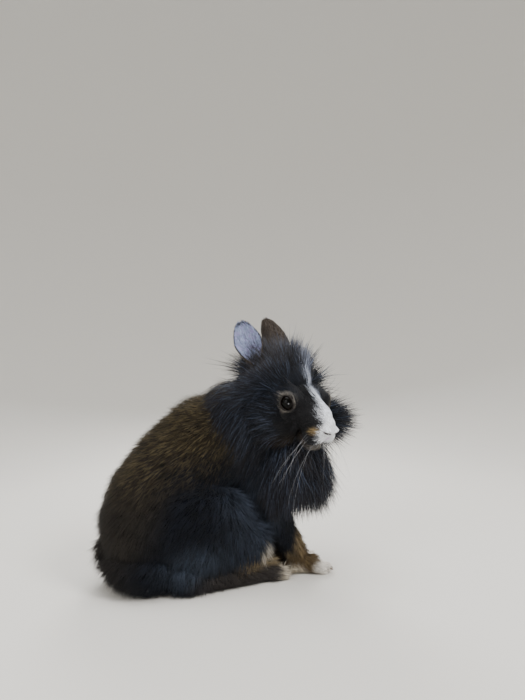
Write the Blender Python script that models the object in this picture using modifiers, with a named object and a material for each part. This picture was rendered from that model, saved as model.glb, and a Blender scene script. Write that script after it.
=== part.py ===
# A young lionhead rabbit, sitting, with its head turned to its right. Life size.
# +X is forward along the body, +Y is the animal's left, +Z is up, and the floor is Z = 0.
# Sizes and places are in millimetres where they are named, and MM turns them into metres.
import math
import random

import bmesh
import bpy
from mathutils import Matrix, Vector
from mathutils.bvhtree import BVHTree

MM = 0.001
GAP = 0.3  # between nodes that touch
MANE_GAP = 0.6  # between the head's locks and the neck's, which cross
SHAVE = 0.1  # keeps two cut faces from lying in one another

# Head
HEAD_BACK = (34.0, -18.2, 174.5)  # the back of the skull on the body's axes
HEAD_TURN = -70.0  # degrees, to the animal's right
HEAD_NOD = 32.0  # degrees, nose down
EYE_RADIUS = 7.6
EYE_PLACE = (57.0, 19.0, 9.0)  # on the head: forward, out, up
EYE_AXIS = (0.25, 1.0, 0.12)
EYE_OPENING = (6.2, 7.0, 5.4)  # half sizes of the opening between the lids
LID = 1.5
GROOVE = 1.0  # half width of the nostrils and the mouth line
EAR_LENGTH = 52.0
EAR_HALF_WIDTH = 12.0
EAR_THICKNESS = 2.0
EAR_BASE_LEAN = 5.0  # how far an ear's base stands behind its tip
EAR_ACROSS = 6
EAR_ALONG = 9

# Fineness of the skins
BODY_VOXEL = 3.2
HEAD_VOXEL = 1.5
BODY_TRIANGLES = 2800
HEAD_TRIANGLES = 1500
COLLAR_TRIANGLES = 500

# The trunk follows the spine from the shoulders to the seat: places and half sizes
SPINE = [
    ((12, -9, 121), (45, 39, 49)),
    ((-14, -3, 112), (48, 43, 50)),
    ((-36, 1, 93), (50, 47, 50)),
    ((-55, 3, 70), (50, 50, 50)),
    ((-63, 4, 50), (50, 53, 50)),
]
TRUNK = {
    "chest": ((27, -15, 92), (36, 34, 43)),
    "belly": ((-9, -3, 43), (56, 41, 40)),
    "brisket": ((20, -14, 34), (26, 25, 28)),
    "seat": ((-64, -1, 21), (50, 49, 29)),
    "tail": ((-105, 6, 32), (14, 14, 18)),
}
# Limb lengths: two ends with their radii. Two values alone are a place and half sizes.
NECK = ((5, -8, 130), 36, (35, -22, 158), 27)
RIGHT_HIND = {
    "thigh": ((-30, -34, 50), (45, 24, 45)),
    "knee": ((6, -38, 33), (23, 16, 24)),
    "heel": ((-46, -37, 16), (19, 14, 17)),
    "foot": ((-44, -37, 9), 11.5, (26, -38, 9), 11.5),
    "toes": ((31, -38, 8), (14, 12.5, 9.5)),
}
RIGHT_FORE = {
    "arm": ((30, -26, 84), 18, (37, -30, 52), 15),
    "wrist": ((37, -30, 52), 14.5, (55, -31, 16), 11.5),
    "paw": ((54, -31, 9), 11.5, (68, -39, 8), 11),
    "toes": ((72, -41, 7.5), (12, 10, 9)),
}
LEFT_FORE = {
    "arm": ((30, 1, 84), 18, (36, 4, 52), 15),
    "wrist": ((36, 4, 52), 14.5, (56, 0, 16), 11.5),
    "paw": ((55, 0, 9), 11.5, (70, -3, 8), 11),
    "toes": ((74, -4, 7.5), (12, 10, 9)),
}
# Where one solid ends and the next begins: ellipsoids that take a piece off the body
REGIONS = {
    "tail": ((-110, 6, 33), (15, 18, 22)),
    "hindfoot_right": ((-10, -40, 0), (64, 22, 25)),
    "hindfoot_left": ((-10, 40, 0), (64, 22, 25)),
    "haunch_right": ((-28, -47, 50), (48, 31, 49)),
    "haunch_left": ((-28, 47, 50), (48, 31, 49)),
    "forepaw_right": ((67, -38, 4), (22, 19, 18)),
    "forepaw_left": ((70, -2, 4), (22, 17, 18)),
    "foreleg_right": ((46, -32, 36), (20, 18, 36)),
    "foreleg_left": ((47, 4, 36), (20, 17, 36)),
    "neck": ((31, -24, 153), (35, 35, 35)),
}
# Head forms on the head's own axes: x from the back of the skull to the nose, y out, z up
HEAD = {
    "skull": ((30, 0, 4), (32, 25, 24)),
    "face": ((54, 0, 3), (27, 20, 18)),
    "jaw": ((40, 0, -15), (27, 17, 15)),
    "nose_tip": ((90.5, 0, 2), (6, 7, 6)),
    "chin": ((76, 0, -14), (13, 9, 7)),
    "wool": ((24, 3, 0), (19, 42, 35)),
}
HEAD_SIDES = {
    "brow": ((54, 14, 8), (16, 11, 13)),
    "cheek": ((48, 14, -9), (26, 14, 18)),
    "lip": ((82, 6, -5), (12, 9, 10)),
}
MUZZLE = ((52, 0, 3), 18, (82, 0, 0), 13)
GROOVES = {
    # start, first and last direction, length
    "nostril": ((94.5, 2.2, 0.5), (-0.2, 1.0, 0.6), (-1.0, 0.5, 0.3), 8),
    "mouth": ((91, 0.5, -9), (-0.2, 1.0, -0.5), (-1.0, 0.35, 0.0), 17),
    "parting": ((96.5, 0.0, 1.0), (0.0, 0.0, -1.0), (-0.6, 0.0, -1.0), 11),
}
GROOVE_SECTIONS = (0.0, 0.8, 1.0, 1.0, 0.7, 0.0)
GROOVE_FACE = (0.7, 0.0, 0.7)
EARS = {
    # base on the head, then lean and opening on the body's axes
    "ear_right": ((4, -15, 14), (-5.9, 26.1, 40.3), (-0.34, -0.94, 0)),
    "ear_left": ((6, 14, 16), (-11.0, 24.0, 50.0), (0.77, 0.64, 0)),
}
# Dense wool under the locks of the neck
COLLAR = {
    "ruff": ((20, -18, 145), (41, 38, 38)),
    "bib": ((54, -36, 108), (24, 25, 36)),
}

# Locks of the mane. Each row runs round an axis, from one angle to another, in degrees:
# 0 is up, positive is the animal's left. Lengths are in millimetres.
LOCK_HALF_WIDTH = 8.5
LOCK_THICKNESS = 1.8
LOCK_SINK = 6.0
LOCK_SECTIONS = (0.0, 0.85, 1.0, 0.68, 0.0)  # width along a lock, root to tip
LOCK_ROLL = 25.0  # degrees either way
HEAD_ROWS = [
    # place along the head, first and last angle, locks, length, lean back, fall
    (37, -56, 60, 6, 21, 0.6, 0.0),
    (28, -64, 70, 7, 28, 0.5, 0.0),
    (18, -60, 68, 5, 30, 0.6, 0.1),
    (42, 72, 284, 10, 25, 0.8, 0.45),
    (33, 62, 118, 4, 34, 0.2, 0.2),
    (33, -118, -66, 4, 34, 0.35, 0.35),
    (31, 124, 236, 6, 32, 0.7, 0.7),
    (20, 84, 276, 7, 36, 0.8, 0.8),
]
NECK_ROWS = [
    # the same, round the neck
    (38, -150, 150, 9, 36, 1.0, 0.6),
    (24, -150, 150, 9, 38, 1.0, 0.8),
    (10, -120, 120, 6, 36, 1.0, 0.8),
]
BIB_ROWS = [
    # height, first and last angle from straight ahead, locks, length
    (126, -125, 85, 7, 44),
    (112, -135, 95, 7, 46),
    (98, -130, 85, 7, 42),
    (86, -100, 75, 5, 36),
]
HEAD_SEED = 11
NECK_SEED = 23

FINISHES = {
    "dark_coat": ((0.035, 0.033, 0.036), 0.85),
    "grey_mane": ((0.06, 0.062, 0.07), 0.85),
    "pale_paws": ((0.55, 0.5, 0.42), 0.85),
    "ear_skin": ((0.2, 0.19, 0.24), 0.7),
    "eye": ((0.012, 0.008, 0.006), 0.08),
}
FINISH_OF = {
    "neck": "grey_mane",
    "head": "grey_mane",
    "forepaw_right": "pale_paws",
    "forepaw_left": "pale_paws",
    "hindfoot_right": "pale_paws",
    "hindfoot_left": "pale_paws",
    "ear_right": "ear_skin",
    "ear_left": "ear_skin",
    "eye_right": "eye",
    "eye_left": "eye",
}


def clear_scene():
    for thing in list(bpy.data.objects):
        bpy.data.objects.remove(thing, do_unlink=True)


def collection(name):
    made = bpy.data.collections.new(name)
    bpy.context.scene.collection.children.link(made)
    return made


def material(name, colour, roughness):
    made = bpy.data.materials.new(name)
    made.use_nodes = True
    shader = made.node_tree.nodes["Principled BSDF"]
    shader.inputs["Base Color"].default_value = (*colour, 1)
    shader.inputs["Roughness"].default_value = roughness
    shader.inputs["Metallic"].default_value = 0.0
    return made


# Axes

def head_frame():
    """The head's own axes in the body's."""
    turn = Matrix.Rotation(math.radians(HEAD_TURN), 4, "Z")
    nod = Matrix.Rotation(math.radians(HEAD_NOD), 4, "Y")
    return Matrix.Translation(Vector(HEAD_BACK) * MM) @ turn @ nod


def neck_frame():
    """Axes with x along the neck, from the shoulders to the head."""
    start, _, end, _ = NECK
    along = (Vector(end) - Vector(start)).normalized()
    side = Vector((0, 0, 1)).cross(along).normalized()
    up = along.cross(side)
    turn = Matrix((along, side, up)).transposed().to_4x4()
    return Matrix.Translation(Vector(start) * MM) @ turn


# Meshes

def ball(shape, centre, sizes, grow=0.0, segments=24):
    """Adds an ellipsoid to a bmesh."""
    stretch = Matrix.Diagonal((*[(size + grow) * MM for size in sizes], 1))
    bmesh.ops.create_uvsphere(
        shape,
        u_segments=segments,
        v_segments=segments // 2,
        radius=1,
        matrix=Matrix.Translation(Vector(centre) * MM) @ stretch,
    )


def limb(shape, start, start_radius, end, end_radius, steps=9):
    """Adds a tapered limb to a bmesh, as a row of balls from one end to the other."""
    for step in range(steps):
        share = step / (steps - 1)
        centre = Vector(start).lerp(Vector(end), share)
        radius = start_radius + (end_radius - start_radius) * share
        ball(shape, centre, (radius, radius, radius), segments=20)


def add_forms(shape, forms):
    for form in forms:
        add = ball if len(form) == 2 else limb
        add(shape, *form)


def as_object(name, shape, group):
    mesh = bpy.data.meshes.new(name)
    shape.to_mesh(mesh)
    shape.free()
    made = bpy.data.objects.new(name, mesh)
    group.objects.link(made)
    return made


def settle(thing):
    """Applies an object's modifiers."""
    bpy.context.view_layer.update()
    graph = bpy.context.evaluated_depsgraph_get()
    mesh = bpy.data.meshes.new_from_object(thing.evaluated_get(graph))
    thing.modifiers.clear()
    old = thing.data
    thing.data = mesh
    bpy.data.meshes.remove(old)
    return thing


def thinned(thing, share):
    """Leaves out the faces that change the form least."""
    thin = thing.modifiers.new("thin", "DECIMATE")
    thin.ratio = share
    return settle(thing)


def soften(thing, voxel, rounds, triangles):
    """Fuses overlapping forms into one skin, smooths it and brings it to a number of triangles."""
    fuse = thing.modifiers.new("fuse", "REMESH")
    fuse.mode = "VOXEL"
    fuse.voxel_size = voxel * MM
    smooth = thing.modifiers.new("smooth", "SMOOTH")
    smooth.factor = 0.5
    smooth.iterations = rounds
    settle(thing)
    return thinned(thing, triangles / (2 * len(thing.data.polygons)))


def cut(thing, other, operation):
    join = thing.modifiers.new("cut", "BOOLEAN")
    join.operation = operation
    join.solver = "MANIFOLD"
    join.object = other
    return settle(thing)


def fuse_locks(thing, locks):
    """One union of a solid and all its locks."""
    join = thing.modifiers.new("locks", "BOOLEAN")
    join.operation = "UNION"
    join.solver = "MANIFOLD"
    join.operand_type = "COLLECTION"
    join.collection = locks
    settle(thing)
    drop(*locks.objects)
    bpy.data.collections.remove(locks)
    return thing


def copy_of(thing, name, grow=0.0):
    """A second object of the same shape, larger all round by grow."""
    made = bpy.data.objects.new(name, thing.data.copy())
    thing.users_collection[0].objects.link(made)
    if grow:
        swell = made.modifiers.new("swell", "DISPLACE")
        swell.mid_level = 0.0
        swell.strength = grow * MM
        settle(made)
    return made


def keep_largest(thing):
    """Drops every closed surface of a mesh but the one that holds the most."""
    shape = bmesh.new()
    shape.from_mesh(thing.data)
    left = set(shape.faces)
    shells = []
    while left:
        edge = [left.pop()]
        shell = set(edge)
        while edge:
            near = {f for e in edge.pop().edges for f in e.link_faces} & left
            left -= near
            shell |= near
            edge.extend(near)
        shells.append(shell)

    def held(shell):
        return abs(sum(f.calc_center_median().dot(f.normal) * f.calc_area() for f in shell))

    largest = max(shells, key=held)
    loose = [f for shell in shells if shell is not largest for f in shell]
    bmesh.ops.delete(shape, geom=loose, context="FACES")
    shape.to_mesh(thing.data)
    shape.free()
    return thing


def drop(*things):
    for thing in things:
        bpy.data.objects.remove(thing, do_unlink=True)


# Body

def mirrored(leg):
    """The same leg on the animal's other side."""
    other = {}
    for name, form in leg.items():
        (x, y, z), rest = form[0], list(form[1:])
        if len(form) == 4:
            rest[1] = (rest[1][0], -rest[1][1], rest[1][2])
        other[name] = ((x, -y, z), *rest)
    return other


def whole_body(tools):
    """Trunk, neck, legs and tail as one skin."""
    shape = bmesh.new()
    steps = 5
    for (start, start_sizes), (end, end_sizes) in zip(SPINE, SPINE[1:]):
        for step in range(steps):
            share = step / (steps - 1)
            sizes = Vector(start_sizes).lerp(Vector(end_sizes), share)
            ball(shape, Vector(start).lerp(Vector(end), share), sizes)
    limb(shape, *NECK)
    for forms in (TRUNK, RIGHT_HIND, mirrored(RIGHT_HIND), RIGHT_FORE, LEFT_FORE):
        add_forms(shape, forms.values())
    return soften(as_object("body", shape, tools), BODY_VOXEL, 6, BODY_TRIANGLES)


def above_floor(thing, tools):
    """Cuts off what reaches below the floor."""
    room = bmesh.new()
    side = 0.6
    bmesh.ops.create_cube(room, size=side, matrix=Matrix.Translation((0, 0, side / 2)))
    box = as_object("room", room, tools)
    cut(thing, box, "INTERSECT")
    drop(box)
    return thing


def region(name, tools, grow=0.0):
    shape = bmesh.new()
    ball(shape, *REGIONS[name], grow=grow, segments=12)
    return as_object(name + "_region", shape, tools)


def take(body, name, tools, parts):
    """Takes one named piece off the body, leaving the gap between them."""
    piece = copy_of(body, name)
    inner, outer = region(name, tools), region(name, tools, GAP)
    cut(piece, inner, "INTERSECT")
    cut(body, outer, "DIFFERENCE")
    drop(inner, outer)
    tools.objects.unlink(piece)
    parts.objects.link(piece)
    return keep_largest(piece)


# Head

def head_core(tools):
    """The head's flesh and the dense wool behind the face."""
    shape = bmesh.new()
    add_forms(shape, HEAD.values())
    for side in (1, -1):
        for (x, y, z), sizes in HEAD_SIDES.values():
            ball(shape, (x, side * y, z), sizes)
    limb(shape, *MUZZLE)
    core = soften(as_object("head", shape, tools), HEAD_VOXEL, 5, HEAD_TRIANGLES)
    core.data.transform(head_frame())
    return core


def eye(side, tools, grow=0.0):
    x, y, z = EYE_PLACE
    shape = bmesh.new()
    place = head_frame() @ Matrix.Translation(Vector((x, side * y, z)) * MM)
    bmesh.ops.create_uvsphere(
        shape, u_segments=16, v_segments=8, radius=(EYE_RADIUS + grow) * MM, matrix=place
    )
    return as_object("eye", shape, tools)


def open_lids(head, side, tools):
    """The socket of one eye and the opening between its lids."""
    x, y, z = EYE_PLACE
    forward, out, up = EYE_AXIS
    axis = Vector((forward, side * out, up)).normalized()
    facing = Vector((0, 1, 0)).rotation_difference(axis).to_matrix().to_4x4()
    front = Vector((x, side * y, z)) + axis * EYE_OPENING[1]
    shape = bmesh.new()
    ball(shape, (0, 0, 0), EYE_OPENING, segments=16)
    opening = as_object("opening", shape, tools)
    opening.data.transform(head_frame() @ Matrix.Translation(front * MM) @ facing)
    socket = eye(side, tools, GAP)
    cut(head, socket, "DIFFERENCE")
    cut(head, opening, "DIFFERENCE")
    drop(socket, opening)


def cut_groove(head, start, first, last, length, side, tools):
    """A nostril, the mouth line or the parting of the lips."""
    axes = head_frame()
    turn = axes.to_3x3()
    flip = Vector((1, side, 1))
    groove = bent_spindle(
        "groove",
        axes @ (Vector(start) * flip * MM),
        turn @ (Vector(first) * flip).normalized(),
        turn @ (Vector(last) * flip).normalized(),
        length,
        [(GROOVE * share, GROOVE * share) for share in GROOVE_SECTIONS],
        turn @ Vector(GROOVE_FACE),
        4,
        tools,
    )
    cut(head, groove, "DIFFERENCE")
    drop(groove)


def add_lids(head, tools, grow=0.0):
    for side in (1, -1):
        lids = eye(side, tools, LID + grow)
        cut(head, lids, "UNION")
        drop(lids)


def open_face(head, tools):
    """Eye sockets, nostrils, mouth line and the parting of the upper lip."""
    for side in (1, -1):
        open_lids(head, side, tools)
    for start, first, last, length in GROOVES.values():
        for side in (1, -1) if start[1] else (1,):
            cut_groove(head, start, first, last, length, side, tools)


def ear_point(u, v):
    """A place on the ear: along it, across it and towards its opening, in millimetres."""
    bulge = math.sin(math.pi * (0.16 + 0.84 * v ** 0.85))
    half = EAR_HALF_WIDTH * (0.12 + 0.98 * bulge ** 0.75)
    roll = math.radians(150 - 100 * min(1, v / 0.55) ** 0.7 - 12 * v)
    radius = half * 1.2 / roll
    angle = u * roll
    return (
        v * EAR_LENGTH,
        radius * math.sin(angle),
        radius * (1 - math.cos(angle)) - EAR_BASE_LEAN * (1 - v),
    )


def ear(name, group):
    """A cupped shell, rolled at its base and open at its tip."""
    base, lean, opening = EARS[name]
    along = Vector(lean).normalized()
    out = Vector(opening)
    out = (out - along * out.dot(along)).normalized()
    across = along.cross(out)
    root = head_frame() @ (Vector(base) * MM)
    shape = bmesh.new()
    bmesh.ops.create_grid(shape, x_segments=EAR_ACROSS, y_segments=EAR_ALONG, size=1)
    for corner in shape.verts:
        share = math.sin(math.radians(45 * (corner.co.y + 1)))
        length, side, depth = ear_point(corner.co.x, share)
        corner.co = root + (along * length + across * side + out * depth) * MM
    bmesh.ops.triangulate(shape, faces=shape.faces[:], quad_method="FIXED")
    made = as_object(name, shape, group)
    thick = made.modifiers.new("thick", "SOLIDIFY")
    thick.thickness = EAR_THICKNESS * MM
    thick.offset = 0
    return settle(made)


# Mane

def bent_spindle(name, start, first, last, length, widths, face, sides, group):
    """A closed, tapered form on a bent path: it leaves along first and ends along last.

    widths holds the half width and the thickness at each section, and face is the side it shows.
    """
    shape = bmesh.new()
    sections = len(widths) - 1
    bmesh.ops.create_uvsphere(shape, u_segments=sides, v_segments=sections, radius=1)
    level = face.cross(first + last)
    for corner in shape.verts:
        ring = round(sections * math.acos(max(-1, min(1, -corner.co.z))) / math.pi)
        share = ring / sections
        along = (first * (1 - share) + last * share).normalized()
        across = (level - along * level.dot(along)).normalized()
        through = along.cross(across)
        width, thickness = widths[ring]
        angle = math.atan2(corner.co.y, corner.co.x) + math.pi / 2
        path = first * (share - share * share / 2) + last * (share * share / 2)
        offset = across * (math.cos(angle) * width) + through * (math.sin(angle) * thickness)
        corner.co = start + path * length * MM + offset * MM
    return as_object(name, shape, group)


def lock(root, first, last, length, face, chance, grow, group):
    """One tapered lock, its root sunk into the wool, larger all round by grow."""
    width = LOCK_HALF_WIDTH * chance.uniform(0.8, 1.2)
    roll = math.radians(chance.uniform(-LOCK_ROLL, LOCK_ROLL))
    turned = Matrix.Rotation(roll, 3, first) @ face
    widths = [
        (width * share + 2 * grow * bool(share), LOCK_THICKNESS * share + 2 * grow * bool(share))
        for share in LOCK_SECTIONS
    ]
    start = root - first * LOCK_SINK * MM
    whole = length * chance.uniform(0.85, 1.15) + LOCK_SINK + 2 * grow
    return bent_spindle("lock", start, first, last, whole, widths, turned, 3, group)


def surface_point(tree, centre, outward):
    """Where the outside of a solid lies in a direction from a place inside it."""
    return tree.ray_cast(centre + outward * 0.2, -outward)[0]


def ring_locks(rows, axes, chance, grow, tree, group):
    """Rows of locks round the x axis of a frame."""
    down = Vector((0, 0, -1))
    turn = axes.to_3x3()
    back = turn @ Vector((-1, 0, 0))
    for station, low, high, count, length, lean, fall in rows:
        for index in range(count):
            share = (index + chance.uniform(0.3, 0.7)) / count
            angle = math.radians(low + (high - low) * share)
            place = Vector((station + chance.uniform(-3, 3), 0, 0)) * MM
            outward = turn @ Vector((0, math.sin(angle), math.cos(angle)))
            side = back.cross(outward) * chance.uniform(-0.25, 0.25)
            root = surface_point(tree, axes @ place, outward)
            first = (outward * (1 - lean * 0.4) + back * lean + side).normalized()
            last = (outward * (0.9 - fall) + back * lean * 0.8 + down * fall + side).normalized()
            lock(root, first, last, length, outward, chance, grow, group)


def bib_locks(rows, chance, grow, tree, group):
    """Rows of locks that hang in front of the chest."""
    down = Vector((0, 0, -1))
    middle = COLLAR["bib"][0]
    for height, low, high, count, length in rows:
        for index in range(count):
            share = (index + chance.uniform(0.3, 0.7)) / count
            angle = math.radians(low + (high - low) * share)
            outward = Vector((math.cos(angle), math.sin(angle), 0))
            centre = Vector((middle[0], middle[1], height + chance.uniform(-4, 4))) * MM
            side = down.cross(outward) * chance.uniform(-0.3, 0.3)
            root = surface_point(tree, centre, outward)
            first = (outward * 0.7 + down * 0.8 + side).normalized()
            last = (outward * 0.15 + down + side).normalized()
            lock(root, first, last, length, outward, chance, grow, group)


def with_mane(core, name, seed, rows, axes, bib_rows=(), grow=0.0):
    """A copy of a solid with its locks fused in, all of it larger by grow."""
    made = copy_of(core, name, grow)
    tree = BVHTree.FromObject(core, bpy.context.evaluated_depsgraph_get())
    locks = collection("locks")
    chance = random.Random(seed)
    ring_locks(rows, axes, chance, grow, tree, locks)
    bib_locks(bib_rows, chance, grow, tree, locks)
    return fuse_locks(made, locks)


def neck_with_collar(neck, tools):
    shape = bmesh.new()
    add_forms(shape, COLLAR.values())
    collar = soften(as_object("collar", shape, tools), BODY_VOXEL, 4, COLLAR_TRIANGLES)
    core = copy_of(neck, "neck_core")
    cut(core, collar, "UNION")
    drop(neck, collar)
    made = with_mane(core, "neck", NECK_SEED, NECK_ROWS, neck_frame(), BIB_ROWS)
    drop(core)
    return made


# Assembly

def finish(pieces):
    """Gives each piece its own colour, and stands them all on the origin."""
    for name, (colour, roughness) in FINISHES.items():
        material(name, colour, roughness)
    for name, piece in pieces.items():
        piece.name = name
        piece.data.materials.clear()
        piece.data.materials.append(bpy.data.materials[FINISH_OF.get(name, "dark_coat")])
        piece.data.shade_smooth()
    corners = [corner.co for piece in pieces.values() for corner in piece.data.vertices]
    middle = [(min(c[axis] for c in corners) + max(c[axis] for c in corners)) / 2 for axis in (0, 1)]
    for piece in pieces.values():
        piece.data.transform(Matrix.Translation((-middle[0], -middle[1], 0)))


def main():
    clear_scene()
    rabbit = collection("lionhead_rabbit")
    tools = collection("tools")
    body = above_floor(whole_body(tools), tools)
    around = copy_of(body, "around", GAP)
    pieces = {name: take(body, name, tools, rabbit) for name in REGIONS}
    pieces["torso"] = body

    core = head_core(tools)
    head = with_mane(core, "head_mane", HEAD_SEED, HEAD_ROWS, head_frame())
    head_room = with_mane(core, "head_room", HEAD_SEED, HEAD_ROWS, head_frame(), grow=MANE_GAP)
    add_lids(head, tools)
    add_lids(head_room, tools, MANE_GAP)
    open_face(head, tools)
    neck = neck_with_collar(pieces["neck"], rabbit)
    pieces["head"] = head
    pieces["neck"] = neck
    for side, name in ((-1, "eye_right"), (1, "eye_left")):
        pieces[name] = eye(side, rabbit)

    seat_of_neck = region("neck", tools, -SHAVE)
    cut(around, seat_of_neck, "DIFFERENCE")
    cut(neck, around, "DIFFERENCE")
    cut(neck, head_room, "DIFFERENCE")
    cut(head, around, "DIFFERENCE")
    for name in EARS:
        pieces[name] = ear(name, rabbit)
        room = copy_of(pieces[name], "room", GAP)
        cut(neck, room, "DIFFERENCE")
        cut(head, room, "DIFFERENCE")
        drop(room)
    for piece in pieces.values():
        keep_largest(piece)
        if piece.name in tools.objects:
            tools.objects.unlink(piece)
            rabbit.objects.link(piece)
    drop(*tools.objects)
    bpy.data.collections.remove(tools)
    finish(pieces)


main()
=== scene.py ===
# A young lionhead rabbit, life size, sitting with its head turned: skin, eyes, claws and coat.
# Places and lengths are in millimetres on the body's axes: +X forward, +Y to its left, +Z up.
# Forms of the head are on the head's axes: x from the back of the skull to the nose, y out, z up.
import math

import bmesh
import bpy
import numpy as np
from mathutils import Matrix, Vector
from mathutils.kdtree import KDTree


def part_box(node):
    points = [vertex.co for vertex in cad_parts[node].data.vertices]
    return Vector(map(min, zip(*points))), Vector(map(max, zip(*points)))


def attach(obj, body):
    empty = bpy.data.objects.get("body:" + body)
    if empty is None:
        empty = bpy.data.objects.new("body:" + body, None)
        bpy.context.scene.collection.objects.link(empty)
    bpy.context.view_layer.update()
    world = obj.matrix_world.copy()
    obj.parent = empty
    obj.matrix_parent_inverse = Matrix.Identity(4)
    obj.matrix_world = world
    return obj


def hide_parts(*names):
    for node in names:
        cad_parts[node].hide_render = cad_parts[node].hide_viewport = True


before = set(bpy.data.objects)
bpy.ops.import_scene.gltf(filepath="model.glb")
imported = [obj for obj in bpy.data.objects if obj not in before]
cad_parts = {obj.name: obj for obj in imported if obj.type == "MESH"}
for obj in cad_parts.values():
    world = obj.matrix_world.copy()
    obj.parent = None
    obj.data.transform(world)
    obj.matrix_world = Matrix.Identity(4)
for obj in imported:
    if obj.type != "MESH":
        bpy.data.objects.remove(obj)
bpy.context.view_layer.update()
print("frame loaded:", len(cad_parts), "nodes")

mm = 0.001
rootBody = "root"
density = 1.0  # fewer tufts while trying things

head = {
    "back": (34.0, -18.2, 174.5),  # the back of the skull on the body
    "turn": -70.0,
    "nod": 32.0,
}
eye = {
    "place": (57.0, 19.0, 9.0),
    "radius": 7.6,
    "axis": (0.46, 1.0, 0.26),
    "opening": (5.3, 7.0, 6.6),  # half sizes between the lids
    "lid": 0.9,
    "cornea": 0.6,
    "corneaAngle": 0.75,  # where the cornea ends, from the axis
}

headOnBody = (
    Matrix.Translation(Vector(head["back"]) * mm)
    @ Matrix.Rotation(math.radians(head["turn"]), 4, "Z")
    @ Matrix.Rotation(math.radians(head["nod"]), 4, "Y")
)
eyeLow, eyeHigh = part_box("eye_right")
rightEye = Vector(eye["place"]) * mm
rightEye.y = -rightEye.y
rowShift = (Vector(eyeLow) + Vector(eyeHigh)) / 2 - headOnBody @ rightEye
bodyAxes = Matrix.Translation(rowShift)
headAxes = bodyAxes @ headOnBody
shiftArray = np.array(rowShift)
headTurn = np.array(headOnBody.to_3x3())
skullBack = np.array(head["back"])


def toHead(place):
    return (place - skullBack) @ headTurn


def mirrored(place, side):
    x, y, z = place
    return x, side * y, z


# Mesh helpers

def placed(name, data):
    made = bpy.data.objects.new(name, data)
    bpy.context.scene.collection.objects.link(made)
    return made


def asObject(name, shape):
    mesh = bpy.data.meshes.new(name)
    shape.to_mesh(mesh)
    shape.free()
    return placed(name, mesh)


def modify(thing, kind, **settings):
    change = thing.modifiers.new(kind.lower(), kind)
    for name, value in settings.items():
        setattr(change, name, value)


def settle(thing):
    bpy.context.view_layer.update()
    graph = bpy.context.evaluated_depsgraph_get()
    mesh = bpy.data.meshes.new_from_object(thing.evaluated_get(graph))
    thing.modifiers.clear()
    thing.data = mesh
    return thing


def join(thing, other, operation="UNION"):
    modify(thing, "BOOLEAN", operation=operation, solver="MANIFOLD", object=other)
    settle(thing)
    bpy.data.objects.remove(other)


def fuse(thing, voxel, rounds):
    modify(thing, "REMESH", mode="VOXEL", voxel_size=voxel * mm)
    modify(thing, "SMOOTH", factor=0.5, iterations=rounds)
    return settle(thing)


def unitBall(segments):
    shape = bmesh.new()
    bmesh.ops.create_uvsphere(shape, u_segments=segments, v_segments=segments // 2, radius=1)
    bmesh.ops.triangulate(shape, faces=shape.faces[:])
    places = np.array([tuple(corner.co) for corner in shape.verts])
    faces = [[corner.index for corner in face.verts] for face in shape.faces]
    shape.free()
    # the faces in one fixed order, so that each run gives the same meshes
    faces = sorted(min(face[k:] + face[:k] for k in range(3)) for face in faces)
    return places, np.array(faces)


ballPlaces, ballFaces = unitBall(32)


def ball(axes, centre, sizes, inset=0.0):
    # where the unit ball goes, as a matrix
    stretch = Matrix.Diagonal((*[max(size - inset, 1.0) * mm for size in sizes], 1))
    return axes @ Matrix.Translation(Vector(centre) * mm) @ stretch


def ballsOf(axes, form, inset, steps=12):
    # a form is one ball, or a limb of balls from one end and radius to another
    if len(form) == 2:
        return [ball(axes, *form, inset)]
    start, startRadius, end, endRadius = form
    balls = []
    for step in range(steps):
        share = step / (steps - 1)
        radius = startRadius + (endRadius - startRadius) * share
        balls.append(ball(axes, Vector(start).lerp(Vector(end), share), (radius,) * 3, inset))
    return balls


def ballsObject(name, balls):
    # all balls as one mesh, mirrored ones turned right side out
    places, faces = [], []
    for number, matrix in enumerate(balls):
        turn = np.array(matrix)
        places.append(ballPlaces @ turn[:3, :3].T + turn[:3, 3])
        corners = ballFaces if matrix.determinant() > 0 else ballFaces[:, ::-1]
        faces.append(corners + number * len(ballPlaces))
    mesh = bpy.data.meshes.new(name)
    mesh.from_pydata(np.concatenate(places), [], np.concatenate(faces))
    return placed(name, mesh)


def setPointValues(mesh, name, kind, values):
    made = mesh.attributes.new(name, kind, "POINT")
    field = "vector" if kind == "FLOAT_VECTOR" else "value"
    made.data.foreach_set(field, np.ascontiguousarray(values, dtype=np.float32).ravel())


def readValues(items, field, width, kind=np.float32):
    values = np.empty(len(items) * width, dtype=kind)
    items.foreach_get(field, values)
    return values.reshape(-1, width)


def pointsOf(mesh):
    return readValues(mesh.vertices, "co", 3).astype(float)


def unit(vectors):
    return vectors / np.maximum(np.linalg.norm(vectors, axis=-1, keepdims=True), 1e-9)


# Tapered forms on bent paths: tufts, locks, claws, whiskers and the cutters of folds

lowestHair = 0.15  # above the floor
bakePatch = 0.003


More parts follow.
